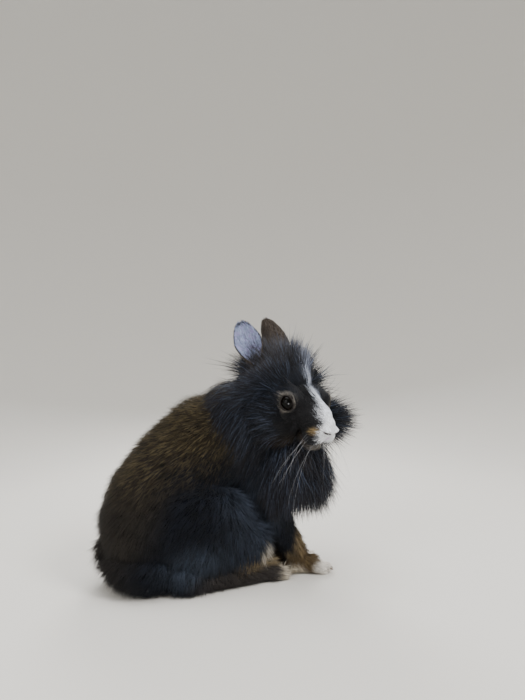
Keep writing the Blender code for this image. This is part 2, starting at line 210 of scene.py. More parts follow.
def spindleMesh(name, paths, rings, sides, wave=None):
    # paths holds arrays with one row for each form: place, first, last, length, width, thick, face
    count = len(paths["place"])
    share = np.array([0.0] + [ring[0] for ring in rings for _ in range(sides)] + [1.0])
    wide = np.array([0.0] + [ring[1] for ring in rings for _ in range(sides)] + [0.0])
    angle = np.array([0.0] + [2 * math.pi * k / sides for _ in rings for k in range(sides)] + [0.0])
    first, last = paths["first"][:, None], paths["last"][:, None]
    length = paths["length"][:, None, None]
    t = share[None, :, None]
    middle = paths["place"][:, None] + length * (first * (t - t * t / 2) + last * (t * t / 2))
    if "pull" in paths:
        middle = middle + paths["pull"][:, None] * t ** 1.6
    along = unit(first * (1 - t) + last * t)
    level = unit(np.cross(paths["face"], paths["first"] + paths["last"]))[:, None]
    across = unit(level - along * (level * along).sum(2, keepdims=True))
    through = np.cross(along, across)
    if wave is not None:
        sway = np.sin(2 * math.pi * (t * wave["turns"] + paths["phase"][:, None, None]))
        middle = middle + across * sway * t * wave["reach"]
    ring = (np.cos(angle) * wide)[None, :, None] * across * paths["width"][:, None, None]
    depth = (np.sin(angle) * wide)[None, :, None] * through * paths["thick"][:, None, None]
    places = middle + ring + depth
    places[..., 2] = np.maximum(places[..., 2], lowestHair)

    corners, sizes = [], []
    total = 2 + sides * len(rings)
    for k in range(sides):
        after = (k + 1) % sides
        corners += [0, 1 + after, 1 + k]
        sizes.append(3)
        for low in range(1, total - 1 - sides, sides):
            high = low + sides
            corners += [low + k, low + after, high + after, high + k]
            sizes.append(4)
        top = total - 1 - sides
        corners += [top + k, top + after, total - 1]
        sizes.append(3)
    corners, sizes = np.array(corners), np.array(sizes)
    starts = np.concatenate([[0], np.cumsum(sizes)[:-1]])
    loops = (corners[None] + np.arange(count)[:, None] * total).ravel()
    firstLoops = (starts[None] + np.arange(count)[:, None] * len(corners)).ravel()

    mesh = bpy.data.meshes.new(name)
    mesh.vertices.add(count * total)
    mesh.vertices.foreach_set("co", (places * mm + shiftArray).astype(np.float32).ravel())
    mesh.loops.add(len(loops))
    mesh.loops.foreach_set("vertex_index", loops.astype(np.int32))
    mesh.polygons.add(len(firstLoops))
    mesh.polygons.foreach_set("loop_start", firstLoops.astype(np.int32))
    mesh.update(calc_edges=True)
    mesh.shade_smooth()
    if "uv" in paths:
        turnShare = (angle / (2 * math.pi))[corners]
        corner = np.stack([turnShare - 0.5, share[corners] - 0.5], axis=1) * bakePatch
        layer = mesh.uv_layers.new(name="OFBake")
        spots = np.clip(paths["uv"][:, None] + corner[None], 0.001, 0.999)
        layer.data.foreach_set("uv", spots.astype(np.float32).ravel())
    for name in ("rootPlace", "headPlace", "zone"):
        if name in paths:
            setPointValues(mesh, name, "FLOAT_VECTOR", np.repeat(paths[name], total, axis=0))
    if "chance" in paths:
        tuft = np.empty((count, total, 3))
        tuft[..., 0] = share[None]
        tuft[..., 1] = paths["chance"][:, None]
        tuft[..., 2] = paths["clump"][:, None]
        setPointValues(mesh, "tuft", "FLOAT_VECTOR", tuft.reshape(-1, 3))
    return mesh


def spindlePath(place, first, last, length, width, thick, face, chance=None):
    # the path of one form, on the body's axes
    path = {"place": place, "first": unit(first), "last": unit(last), "face": unit(face)}
    path.update({"length": length, "width": width, "thick": thick})
    if chance is not None:
        path.update({"chance": chance, "clump": 0.0})
    return {name: np.array(value, float)[None] for name, value in path.items()}


def headPath(start, first, last, length, width, thick, face, side=1, chance=None):
    start, first, last, face = (
        headTurn @ np.array(mirrored(way, side), float) for way in (start, first, last, face)
    )
    return spindlePath(skullBack + start, first, last, length, width, thick, face, chance)


def stacked(paths):
    return {name: np.concatenate([path[name] for path in paths]) for name in paths[0]}


def linked(name, mesh, finish):
    made = placed(name, mesh)
    mesh.materials.append(finish)
    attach(made, rootBody)
    return made


# Materials

def tone(text):
    # a colour as written in a paint program, made linear
    parts = [int(text[i:i + 2], 16) / 255 for i in (0, 2, 4)]
    linear = [p / 12.92 if p <= 0.04045 else ((p + 0.055) / 1.055) ** 2.4 for p in parts]
    return (*linear, 1.0)


def give(tree, socket, value):
    if isinstance(value, bpy.types.NodeSocket):
        tree.links.new(value, socket)
    else:
        socket.default_value = value


def addNode(tree, kind, inputs, **settings):
    made = tree.nodes.new("ShaderNode" + kind)
    for name, value in settings.items():
        setattr(made, name, value)
    for name, value in inputs.items():
        give(tree, made.inputs[name], value)
    return made


def newFinish(name, **values):
    made = bpy.data.materials.new(name)
    made.use_nodes = True
    shader = made.node_tree.nodes["Principled BSDF"]
    for socket, value in values.items():
        shader.inputs[socket.replace("_", " ")].default_value = value
    return made, made.node_tree, shader.inputs


def newGroup(name, inputs):
    made = bpy.data.node_groups.new(name, "ShaderNodeTree")
    for socket, kind in inputs.items():
        made.interface.new_socket(socket, in_out="INPUT", socket_type="NodeSocket" + kind)
    made.interface.new_socket("Color", in_out="OUTPUT", socket_type="NodeSocketColor")
    given = made.nodes.new("NodeGroupInput").outputs
    return made, given, made.nodes.new("NodeGroupOutput").inputs["Color"]


def grouped(tree, name, inputs):
    return addNode(tree, "Group", inputs, node_tree=bpy.data.node_groups[name]).outputs["Color"]


def mixed(tree, factor, low, high):
    made = addNode(tree, "Mix", {0: factor, 6: low, 7: high}, data_type="RGBA")
    return made.outputs[2]


def ranged(tree, value, fromLow, fromHigh, toLow=0.0, toHigh=1.0, kind="SMOOTHSTEP"):
    given = {"Value": value, "From Min": fromLow, "From Max": fromHigh}
    given.update({"To Min": toLow, "To Max": toHigh})
    return addNode(tree, "MapRange", given, interpolation_type=kind).outputs["Result"]


def product(tree, *values):
    result = values[0]
    for value in values[1:]:
        result = addNode(tree, "Math", {0: result, 1: value}, operation="MULTIPLY").outputs[0]
    return result


def vectorStep(tree, operation, *values):
    made = addNode(tree, "VectorMath", dict(enumerate(values)), operation=operation)
    return made.outputs["Value" if operation == "LENGTH" else "Vector"]


def scaled(tree, colour, factor):
    return addNode(tree, "VectorMath", {0: colour, "Scale": factor}, operation="SCALE").outputs[0]


def attributeOf(tree, name):
    return addNode(tree, "Attribute", {}, attribute_name=name).outputs["Vector"]


def partsOf(tree, name):
    return addNode(tree, "SeparateXYZ", {0: attributeOf(tree, name)}).outputs


def within(tree, place, centre, sizes, soft):
    # 1 inside an ellipsoid, fading to 0 over its border
    away = vectorStep(tree, "DIVIDE", vectorStep(tree, "SUBTRACT", place, centre), sizes)
    return ranged(tree, vectorStep(tree, "LENGTH", away), 1 + soft, 1 - soft)


eyeRim = tuple(at + out for at, out in zip(eye["place"], (3.4, 5.8, 1.8)))
bodyMarks = {
    # centre, half sizes, softness of the edge, colour, strength, and "both" for left and right
    "saddle": ((-34, -6, 165), (80, 74, 58), 0.22, "2d271c", 0.95),
    "rump": ((-112, 0, 110), (66, 80, 92), 0.22, "2b2722", 0.9),
    "seat": ((-112, 0, 18), (30, 60, 26), 0.5, "201d1c", 0.8),
    "slateFlankRight": ((10, -44, 64), (26, 30, 34), 0.6, "363d4a", 0.8),
    "slateFlankLeft": ((10, 30, 64), (26, 30, 34), 0.6, "363d4a", 0.8),
    "slateHaunch": ((-36, -56, 27), (28, 28, 16), 0.7, "3d4654", 0.8, "both"),
    # paler grey-blue under the chin: partly the fur's own grey, partly painted light on the lit fur
    # there
    "litDewlap": ((58, -34, 118), (16, 22, 16), 0.6, "3d434f", 0.6),
    "belly": ((0, -6, 6), (50, 26, 16), 0.5, "8e877e", 0.6),
    "footBrown": ((-4, -42, 9), (40, 16, 15), 0.4, "3a3532", 0.85, "both"),
    "footEdge": ((20, -39, 20), (26, 12, 6), 0.45, "ab9874", 0.85, "both"),
    "innerThigh": ((22, -46, 29), (6, 12, 7), 0.5, "c9c2b6", 0.85),
    "forelegEdge": ((56, -42, 34), (7, 9, 18), 0.5, "94805f", 0.8),
    "forepawRight": ((60, -41, 10), (17, 17, 14), 0.4, "5c4c33", 0.85),
    "forepawLeft": ((62, -3, 10), (17, 17, 14), 0.4, "5c4c33", 0.85),
    "toesRight": ((79, -45, 4), (15, 14, 13), 0.25, "ece7df", 0.95),
    "toesLeft": ((81, -5, 4), (15, 14, 13), 0.25, "ece7df", 0.95),
    "hindToes": ((41, -39, 3), (15, 15, 10), 0.4, "d3c9b7", 0.9, "both"),
}
headMarks = {
    "cheeks": ((38, 0, -8), (34, 70, 44), 0.5, "181d27", 0.8),
    "crown": ((14, 0, 38), (34, 46, 26), 0.5, "25221f", 0.85),
    "nape": ((-10, 0, 0), (22, 60, 60), 0.5, "201d1c", 0.7),
    "mask": ((68, 0, 2), (26, 30, 22), 0.3, "0d0c0e", 0.95),
    "eyeRing": (eyeRim, (7.5, 6.5, 8.7), 0.18, "726d66", 0.8, "both"),
    "jaw": ((70, 0, -20), (18, 18, 10), 0.5, "3a3026", 0.75),
    "chin": ((86, 0, -17), (7, 6, 5), 0.5, "8d877f", 0.75),
    "blazeTop": ((24, -1, 37), (14, 7, 10), 0.9, "565d70", 0.7),
    "blazeHigh": ((41, 7, 30), (14, 4.4, 10), 0.6, "8e95a8", 0.85),
    "blaze": ((57, 5.6, 23), (14, 3.6, 12), 0.5, "b6bccb", 0.9),
    "blazeLow": ((70, 2.4, 15), (13, 3.6, 10), 0.4, "d0d5df", 0.95),
    "blazeNose": ((83, 0.2, 10), (12, 5.9, 12), 0.35, "e0e3ea", 1.0),
    "muzzle": ((94, 0, 1), (10.5, 10.0, 13), 0.22, "e8eaef", 1.0),
    "spot": ((86, 13.5, 0), (3.2, 4.5, 3.4), 0.5, "8a7550", 0.75, "both"),
}
coatLook = {
    "base": "0e121c",
    "wool": "181c26",
    "tick": "62563c",  # the tan band of the back's hairs
    "silver": "566279",  # paler hairs of the mane
    "tip": "352c24",  # thin ends of the mane, partly brownish and partly painted light shining through them
    "earBack": "383029",
    "earHair": "838ca6",
    "tickedBack": ((-62, -6, 150), (88, 74, 66), 0.3),
    "bodyRagged": 9.0,  # how far the borders of the markings wander
    "headRagged": 2.4,
    "aside": 2.2,  # a tuft takes its colour from this far beside its root
    # how much darker a tuft is at its root and lighter at its tip: painted shade deep in the coat
    # and painted light on the tips
    "rootPaintedShade": -0.5,
    "tipPaintedLight": 0.2,
    "ownShade": 0.35,
    "clumpShade": 0.38,
}


def painted(tree, colour, place, marks):
    for centre, sizes, soft, paint, strength, *both in marks.values():
        for side in (1, -1) if both else (1,):
            inside = within(tree, place, mirrored(centre, side), sizes, soft)
            colour = mixed(tree, product(tree, inside, strength), colour, tone(paint))
    return colour


def wandering(tree, place, ragged):
    noise = addNode(
        tree, "TexNoise", {"Vector": place, "Scale": 0.12, "Detail": 3.0, "Roughness": 0.6}
    )
    centred = vectorStep(tree, "SUBTRACT", noise.outputs["Color"], (0.5, 0.5, 0.5))
    return vectorStep(tree, "MULTIPLY_ADD", centred, (ragged, ragged, ragged), place)


def markingsGroup():
    # the same colours on skin and coat, by a root's place on the body and on the head
    tree, given, out = newGroup("coatMarkings", {
        "Place": "Vector", "Head Place": "Vector", "On Head": "Float", "Jitter": "Float",
    })
    aside = ranged(tree, given["Jitter"], 0.0, 1.0, -coatLook["aside"], coatLook["aside"], "LINEAR")
    headPlace = vectorStep(tree, "ADD", given["Head Place"], aside)
    body = wandering(tree, given["Place"], coatLook["bodyRagged"])
    body = painted(tree, tone(coatLook["base"]), body, bodyMarks)
    face = wandering(tree, headPlace, coatLook["headRagged"])
    face = painted(tree, tone(coatLook["wool"]), face, headMarks)
    give(tree, out, mixed(tree, given["On Head"], body, face))


def tuftGroup():
    # bands along a tuft, with painted shade towards its root and painted light towards its tip, and
    # shades from tuft to tuft
    numbers = ("Along", "Chance", "Clump", "Ear", "Ticking", "Silver", "Tips", "Vary")
    tree, given, out = newGroup(
        "tuftShade", {"Color": "Color", "Place": "Vector", **{name: "Float" for name in numbers}}
    )
    along, chance, ear = given["Along"], given["Chance"], given["Ear"]
    band = product(
        tree, within(tree, given["Place"], *coatLook["tickedBack"]), ranged(tree, along, 0.5, 0.62),
        ranged(tree, along, 0.86, 0.96, 1.0, 0.2), ranged(tree, chance, 0.4, 0.8), given["Ticking"],
    )
    layers = {
        "tick": band,
        "silver": product(tree, ranged(tree, chance, 0.7, 0.9), given["Silver"]),
        # brown towards the tip: partly the hair's own brown, partly painted light shining through
        # the thin ends
        "tip": product(tree, ranged(tree, along, 0.5, 1.0), given["Tips"]),
        "earBack": ranged(tree, ear, 0.02, 0.1),
        "earHair": ranged(tree, ear, 0.5, 0.6),
    }
    colour = given["Color"]
    for paint, mask in layers.items():
        colour = mixed(tree, mask, colour, tone(coatLook[paint]))
    own, shared = coatLook["ownShade"], coatLook["clumpShade"]
    shades = [
        ranged(tree, chance, 0.0, 1.0, -own, own, "LINEAR"),
        ranged(tree, given["Clump"], 0.0, 1.0, -shared, shared, "LINEAR"),
        # darker at the root, lighter at the tip: painted shade in the coat's depth and painted
        # light on the tips
        ranged(tree, along, 0.05, 0.6, coatLook["rootPaintedShade"], coatLook["tipPaintedLight"]),
    ]
    for shade in shades:
        light = addNode(
            tree, "Math", {0: shade, 1: given["Vary"], 2: 1.0}, operation="MULTIPLY_ADD"
        )
        colour = scaled(tree, colour, light.outputs[0])
    give(tree, out, colour)


def mottleGroup():
    tree, given, out = newGroup(
        "mottle", {"Scale": "Float", "Detail": "Float", "Low": "Color", "High": "Color"}
    )
    noise = addNode(tree, "TexNoise", {"Scale": given["Scale"], "Detail": given["Detail"]})
    give(tree, out, mixed(tree, noise.outputs["Fac"], given["Low"], given["High"]))


def mottled(tree, scale, detail, low, high):
    return grouped(tree, "mottle", {"Scale": scale, "Detail": detail, "Low": low, "High": high})


def mottledFinish(name, scale, detail, low, high, **values):
    made, tree, sockets = newFinish(name, **values)
    give(tree, sockets["Base Color"], mottled(tree, scale, detail, low, high))
    return made


furSheen = {"Sheen_Weight": 0.03, "Sheen_Roughness": 0.4}
coatKinds = {
    # ticking, silver hairs, brown tips that are partly painted light through thin hair, how much
    # the tufts differ
    "body_coat": (0.6, 0.0, 0.0, 1.0),
    "mane_wool": (0.0, 0.34, 0.3, 0.8),
    "face_fur": (0.0, 0.0, 0.0, 0.5),
    "ear_fur": (0.0, 0.0, 0.0, 1.0),
}


def markingsOf(tree, jitter):
    place, headPlace = attributeOf(tree, "rootPlace"), attributeOf(tree, "headPlace")
    onHead, ear, rim = partsOf(tree, "zone")
    colour = grouped(tree, "coatMarkings", {
        "Place": place, "Head Place": headPlace, "On Head": onHead, "Jitter": jitter,
    })
    return colour, place, headPlace, ear, rim


def coatFinish(name, ticking, silver, tips, vary):
    made, tree, sockets = newFinish(name, Roughness=0.6, Specular_IOR_Level=0.12, **furSheen)
    along, chance, clump = partsOf(tree, "tuft")
    colour, place, headPlace, ear, rim = markingsOf(tree, chance)
    colour = grouped(tree, "tuftShade", {
        "Color": colour, "Place": place, "Along": along, "Chance": chance, "Clump": clump,
        "Ear": ear, "Ticking": ticking, "Silver": silver, "Tips": tips, "Vary": vary,
    })
    give(tree, sockets["Base Color"], colour)
    return made


skinLook = {
    "earInside": "6c7690",
    "earGlow": "857fa6",
    "earRim": "1c1e26",
    "earBack": "332c26",
    "coatShadeOnSkin": 0.75,  # how bright the skin is beside the coat: darker, as painted shade of the coat over the skin
    "marks": {
        "eyeLine": (eyeRim, (6.6, 6.0, 7.9), 0.1, "17120f", 0.95, "both"),
        # the dark of the nostrils is painted shade in their openings
        "nostril": ((93.2, 4.4, 1.8), (4.6, 3.0, 1.3), 0.35, "2a1d20", 0.95, "both"),
        "lip": ((94, 0.0, -5.4), (4.0, 2.2, 3.4), 0.4, "b79ac0", 0.8),
    },
}


def skinFinish():
    made, tree, sockets = newFinish(
        "rabbit_skin", Roughness=0.7, Specular_IOR_Level=0.15, **furSheen
    )
    colour, place, headPlace, ear, rim = markingsOf(tree, 0.5)
    # the skin darkened as painted shade under the coat
    colour = scaled(tree, colour, skinLook["coatShadeOnSkin"])
    colour = painted(tree, colour, headPlace, skinLook["marks"])
    veins = addNode(
        tree, "TexNoise", {"Vector": headPlace, "Scale": 0.22, "Detail": 5.0, "Distortion": 0.8}
    )
    patch = ranged(tree, veins.outputs["Fac"], 0.42, 0.62)
    lining = mixed(tree, patch, tone(skinLook["earInside"]), tone(skinLook["earGlow"]))
    lining = mixed(tree, ranged(tree, rim, 0.86, 0.98), lining, tone(skinLook["earRim"]))
    colour = mixed(tree, ranged(tree, ear, 0.02, 0.1), colour, tone(skinLook["earBack"]))
    colour = mixed(tree, ranged(tree, ear, 0.45, 0.7), colour, lining)
    grain = addNode(
        tree, "TexNoise", {"Vector": place, "Scale": 1.6, "Detail": 4.0, "Roughness": 0.65}
    ).outputs["Fac"]
    bump = addNode(tree, "Bump", {"Height": grain, "Strength": 0.35, "Distance": 0.0006})
    colour = scaled(tree, colour, ranged(tree, grain, 0.3, 0.7, 0.8, 1.2))
    give(tree, sockets["Base Color"], colour)
    give(tree, sockets["Normal"], bump.outputs["Normal"])
    return made


markingsGroup()
tuftGroup()
mottleGroup()
finishes = {name: coatFinish(name, *values) for name, values in coatKinds.items()}
print("coat materials made")


# Skin: the same forms as the solids, in by the depth of the coat

spineForms = [
    ((12, -9, 121), (45, 39, 49)),
    ((-14, -3, 112), (48, 43, 50)),
    ((-36, 1, 93), (50, 47, 50)),
    ((-55, 3, 70), (50, 50, 50)),
    ((-63, 4, 50), (50, 53, 50)),
]
trunkForms = {
    # a form, then the depth of the coat on it
    "chest": (((27, -15, 92), (36, 34, 43)), 9),
    "belly": (((-9, -3, 43), (56, 41, 40)), 8),
    "brisket": (((20, -14, 34), (26, 25, 28)), 7),
    "seat": (((-64, -1, 21), (50, 49, 29)), 7),
    "tail": (((-104, 6, 32), (13, 14, 18)), 6),
    "neck": (((5, -8, 130), 36, (35, -22, 158), 27), 9),
    "ruff": (((20, -18, 145), (41, 38, 38)), 10),
    "bib": (((54, -36, 108), (24, 25, 36)), 11),
}
hindForms = {
    "thigh": (((-30, -34, 50), (45, 24, 45)), 7),
    "knee": (((6, -38, 33), (23, 16, 24)), 6),
    "heel": (((-46, -37, 16), (19, 14, 17)), 4),
    "foot": (((-44, -37, 8.5), 10.5, (24, -38, 7.5), 9.5), 2),
}
rightForeForms = {
    "arm": (((30, -26, 84), 18, (37, -30, 52), 15), 5),
    "wrist": (((37, -30, 52), 14.5, (55, -31, 16), 11.5), 4),
    "paw": (((54, -31, 8.5), 11, (67, -38.5, 7), 10), 2.5),
}
leftForeForms = {
    "arm": (((30, 1, 84), 18, (36, 4, 52), 15), 5),
    "wrist": (((36, 4, 52), 14.5, (56, 0, 16), 11.5), 4),
    "paw": (((55, 0, 8.5), 11, (69, -3, 7), 10), 2.5),
}
paws = {
    # where the toes begin, their heading, how far apart they are and how far each reaches
    "hind_right": ((24, -38, 6.0), (1, -0.02, 0), 4.4, (11, 15, 16, 12)),
    "hind_left": ((24, 38, 6.0), (1, 0.02, 0), 4.4, (11, 15, 16, 12)),
    "fore_right": ((68, -39.2, 5.6), (0.87, -0.49, 0), 4.0, (8, 11, 11, 8)),
    "fore_left": ((70, -3.2, 5.6), (0.98, -0.18, 0), 4.0, (8, 11, 11, 8)),
}
skinForm = {
    "spineCoat": 8,
    "spineSteps": 6,
    "bodyVoxel": 1.7,
    "headVoxel": 0.8,
    "softAbove": 26,
    "softOver": 12,
    "softRounds": 24,
    "toeRadius": 4.3,
    "toeTaper": 0.85,
    "toeHeight": 4.2,
    "eyeGap": 0.06,
    "floor": 0.25,
}
headForms = {
    "skull": (((30, 0, 4), (32, 25, 24)), 3),
    "face": (((54, 0, 3), (27, 20, 18)), 2.2),
    "jaw": (((40, 0, -15), (27, 17, 15)), 3),
    "nose": (((90, 0, 2.5), (6, 6.5, 5.5)), 0.8),
    "chin": (((76, 0, -14), (13, 9, 7)), 1.5),
    "wool": (((22, 2, 1), (17, 36, 30)), 7),
    "muzzle": (((52, 0, 3), 18, (82, 0, 0), 13), 2),
    "bridge": (((60, 0, 13.2), (27, 8, 5)), 0),
    "noseTop": (((82, 0, 7.6), (11, 6.4, 5.4)), 0),
}
headSideForms = {
    "brow": (((54, 14, 8), (16, 11, 13)), 2),
    "browRidge": (((56, 16.5, 14.5), (9, 5, 3.4)), 0),
    "underEye": (((60, 19.5, 0.5), (9, 4.5, 3.5)), 0),
    "cheek": (((48, 14, -9), (26, 14, 18)), 4),
    "lip": (((82, 6, -5), (12, 9, 10)), 1.5),
    "nostrilWing": (((91.5, 4.2, 4.2), (4.0, 3.2, 2.6)), 0),
}


def eyeBall(side, radius, name="globe"):
    return ballsObject(name, [ball(headAxes, mirrored(eye["place"], side), (radius,) * 3)])


def eyeFacing(side):
    axis = Vector(mirrored(eye["axis"], side)).normalized()
    return axis, Vector((0, 1, 0)).rotation_difference(axis).to_matrix()


def lidOpening(side):
    axis, turn = eyeFacing(side)
    front = Vector(mirrored(eye["place"], side)) + axis * eye["opening"][1]
    made = ballsObject("opening", [ball(Matrix.Identity(4), (0, 0, 0), eye["opening"])])
    made.data.transform(headAxes @ Matrix.Translation(front * mm) @ turn.to_4x4())
    return made


def toePaths():
    for start, heading, apart, reaches in paws.values():
        ahead = Vector(heading).normalized()
        aside = Vector((-ahead.y, ahead.x, 0))
        for k, reach in enumerate(reaches):
            side = (k - 1.5) * apart
            low = Vector(start) + aside * side * 0.85
            high = low + ahead * reach + aside * side * 0.2
            high.z = skinForm["toeHeight"]
            yield low, high, ahead


def softenAbove(thing, height, over, rounds):
    # smooths the trunk's creases and leaves the feet as they are
    level = (pointsOf(thing.data)[:, 2] / mm - height) / over
    group = thing.vertex_groups.new(name="soft")
    for step in range(1, 11):
        chosen = np.nonzero((level > (step - 1) / 10) & ((level <= step / 10) | (step == 10)))[0]
        group.add(chosen.tolist(), step / 10, "REPLACE")
    modify(thing, "SMOOTH", factor=0.5, iterations=rounds, vertex_group=group.name)
    return settle(thing)


def bodySkin():
    balls = []
    steps = skinForm["spineSteps"]
    for (start, startSizes), (end, endSizes) in zip(spineForms, spineForms[1:]):
        for step in range(steps):
            share = step / (steps - 1)
            centre = Vector(start).lerp(Vector(end), share)
            sizes = Vector(startSizes).lerp(Vector(endSizes), share)
            balls.append(ball(bodyAxes, centre, sizes, skinForm["spineCoat"]))
    mirror = Matrix.Diagonal((1, -1, 1, 1))
    sets = [(trunkForms, bodyAxes), (hindForms, bodyAxes), (hindForms, bodyAxes @ mirror)]
    sets += [(rightForeForms, bodyAxes), (leftForeForms, bodyAxes)]
    for forms, axes in sets:
        for form, inset in forms.values():
            balls += ballsOf(axes, form, inset)
    radius = skinForm["toeRadius"]
    for low, high, ahead in toePaths():
        balls += ballsOf(bodyAxes, (low, radius, high, radius * skinForm["toeTaper"]), 0, 5)
    made = fuse(ballsObject("rabbit_skin", balls), skinForm["bodyVoxel"], 3)
    return softenAbove(made, skinForm["softAbove"], skinForm["softOver"], skinForm["softRounds"])


def headSkin():
    balls = []
    for form, inset in headForms.values():
        balls += ballsOf(headAxes, form, inset)
    for side in (1, -1):
        for (centre, sizes), inset in headSideForms.values():
            balls.append(ball(headAxes, mirrored(centre, side), sizes, inset))
    made = fuse(ballsObject("head_skin", balls), skinForm["headVoxel"], 16)
    for side in (1, -1):
        join(made, eyeBall(side, eye["radius"] + eye["lid"]))
    made = fuse(made, skinForm["headVoxel"], 2)
    for side in (1, -1):
        join(made, eyeBall(side, eye["radius"] + skinForm["eyeGap"]), "DIFFERENCE")
        join(made, lidOpening(side), "DIFFERENCE")
    return made


folds = {
    # start, first and last direction, length, half width
    "nostril": ((94.2, 2.0, 0.4), (-0.2, 1.0, 0.6), (-1.0, 0.5, 0.3), 7.5, 0.75),
    "mouth": ((91, 0.5, -9), (-0.2, 1.0, -0.5), (-1.0, 0.35, 0.0), 16, 0.7),
    "parting": ((95.8, 0.0, 0.6), (0.0, 0.0, -1.0), (-0.6, 0.0, -1.0), 10.5, 0.6),
}
foldRings = [(0.18, 0.8), (0.4, 1.0), (0.62, 1.0), (0.82, 0.7)]


def cutFolds(made):
    for start, first, last, length, width in folds.values():
        for side in (1, -1) if start[1] else (1,):
            path = headPath(start, first, last, length, width, width * 1.3, (0.7, 0, 0.7), side)
            join(made, placed("fold", spindleMesh("fold", path, foldRings, 8)), "DIFFERENCE")
    return made


ears = {
    # base on the head, then lean and opening on the body's axes
    "right": ((4, -15, 14), (-5.9, 26.1, 40.3), (-0.34, -0.94, 0)),
    "left": ((6, 14, 16), (-11.0, 24.0, 50.0), (0.77, 0.64, 0)),
}
earForm = {
    "length": 51.0,
    "halfWidth": 11.4,
    "thickness": 1.5,
    "baseLean": 5.0,
    "rollAtBase": 150,  # degrees from the middle to a rim
    "unroll": 100,
    "unrollBy": 0.55,  # share of the length
    "crease": 0.6,
    "across": 14,
    "along": 22,
}


def earPoint(u, v):
    # u runs across from rim to rim, v from the base to the tip
    bulge = math.sin(math.pi * (0.16 + 0.84 * v ** 0.85))
    half = earForm["halfWidth"] * (0.12 + 0.96 * bulge ** 0.58)
    opened = earForm["unroll"] * min(1, v / earForm["unrollBy"]) ** 0.7
    roll = math.radians(earForm["rollAtBase"] - opened - 12 * v)
    radius = half * 1.2 / roll
    fold = 0.5 * math.sin(9 * v + 2.5 * u) * (1 - abs(u)) + 0.35 * math.sin(16 * u + 3 * v)
    depth = radius * (1 - math.cos(u * roll)) - earForm["baseLean"] * (1 - v)
    return v * earForm["length"], radius * math.sin(u * roll), depth + fold * earForm["crease"]


def earSkin(name):
    base, lean, opening = ears[name]
    along = Vector(lean).normalized()
    out = Vector(opening)
    out = (out - along * out.dot(along)).normalized()
    across = along.cross(out)
    root = headAxes @ (Vector(base) * mm)
    shape = bmesh.new()
    bmesh.ops.create_grid(shape, x_segments=earForm["across"], y_segments=earForm["along"], size=1)
    spots = []
    for corner in shape.verts:
        u, v = corner.co.x, math.sin(math.radians(45 * (corner.co.y + 1)))
        length, side, depth = earPoint(u, v)
        corner.co = root + (along * length + across * side + out * depth) * mm
        spots.append((corner.co.copy(), u, v))
    bmesh.ops.recalc_face_normals(shape, faces=shape.faces[:])
    if sum(face.normal.dot(out) for face in shape.faces) < 0:
        bmesh.ops.reverse_faces(shape, faces=shape.faces[:])
    shape.normal_update()
    spots = [(spot, corner.normal.copy(), u, v) for (spot, u, v), corner in zip(spots, shape.verts)]
    made = asObject(name + "_ear_skin", shape)
    modify(made, "SOLIDIFY", thickness=earForm["thickness"] * mm, offset=0)
    modify(made, "SUBSURF", levels=2, render_levels=2)
    return settle(made), spots, along


earSpots, earAlong, earPieces = [], {}, []
skin = bodySkin()
headPiece = cutFolds(headSkin())
for name in ears:
    piece, spots, earAlong[name] = earSkin(name)
    earPieces.append(piece)
    earSpots += spots
for piece, part in [(skin, 1.0), (headPiece, 2.0)] + [(piece, 3.0) for piece in earPieces]:
    setPointValues(piece.data, "part", "FLOAT", np.full(len(piece.data.vertices), part))
for piece in [headPiece] + earPieces:
    join(skin, piece)
places = pointsOf(skin.data)
places[:, 2] = np.maximum(places[:, 2], skinForm["floor"] * mm)
skin.data.vertices.foreach_set("co", places.astype(np.float32).ravel())
skin.data.update()
skin.data.shade_smooth()
print("skin:", len(skin.data.polygons), "faces")

bpy.context.view_layer.objects.active = skin
skin.select_set(True)
bpy.ops.object.mode_set(mode="EDIT")
bpy.ops.mesh.select_all(action="SELECT")
bpy.ops.uv.smart_project(angle_limit=math.radians(66), island_margin=0.002)
bpy.ops.object.mode_set(mode="OBJECT")
skin.data.uv_layers[0].name = "OFBake"
print("skin unwrapped")

def markSkin(mesh):
    place = (pointsOf(mesh) - shiftArray) / mm
    part = readValues(mesh.attributes["part"].data, "value", 1)[:, 0]
    mesh.attributes.remove(mesh.attributes["part"])
    onHead = (part > 1.5).astype(float)
    isEar = part > 2.5
    tree = KDTree(len(earSpots))
    for index, spot in enumerate(earSpots):
        tree.insert(spot[0], index)
    tree.balance()
    inside, rim = np.zeros((2, len(part)))
    for index in np.nonzero(isEar)[0]:
        corner = mesh.vertices[index].co
        spot, normal, u, v = earSpots[tree.find(corner)[1]]
        inside[index] = 1.0 if (corner - spot).dot(normal) > 0 else 0.2
        rim[index] = max(abs(u), v)
    setPointValues(mesh, "rootPlace", "FLOAT_VECTOR", place)
    setPointValues(mesh, "headPlace", "FLOAT_VECTOR", toHead(place))
    setPointValues(mesh, "zone", "FLOAT_VECTOR", np.stack([onHead, inside, rim], axis=1))
    return {"place": place, "onHead": onHead, "isEar": isEar, "inside": inside, "rim": rim}


corners = markSkin(skin.data)
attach(skin, rootBody)
skin.data.materials.clear()
skin.data.materials.append(skinFinish())
fleshNodes = [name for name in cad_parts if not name.startswith("eye_")]
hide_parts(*fleshNodes)


# Where tufts can root: the skin's triangles

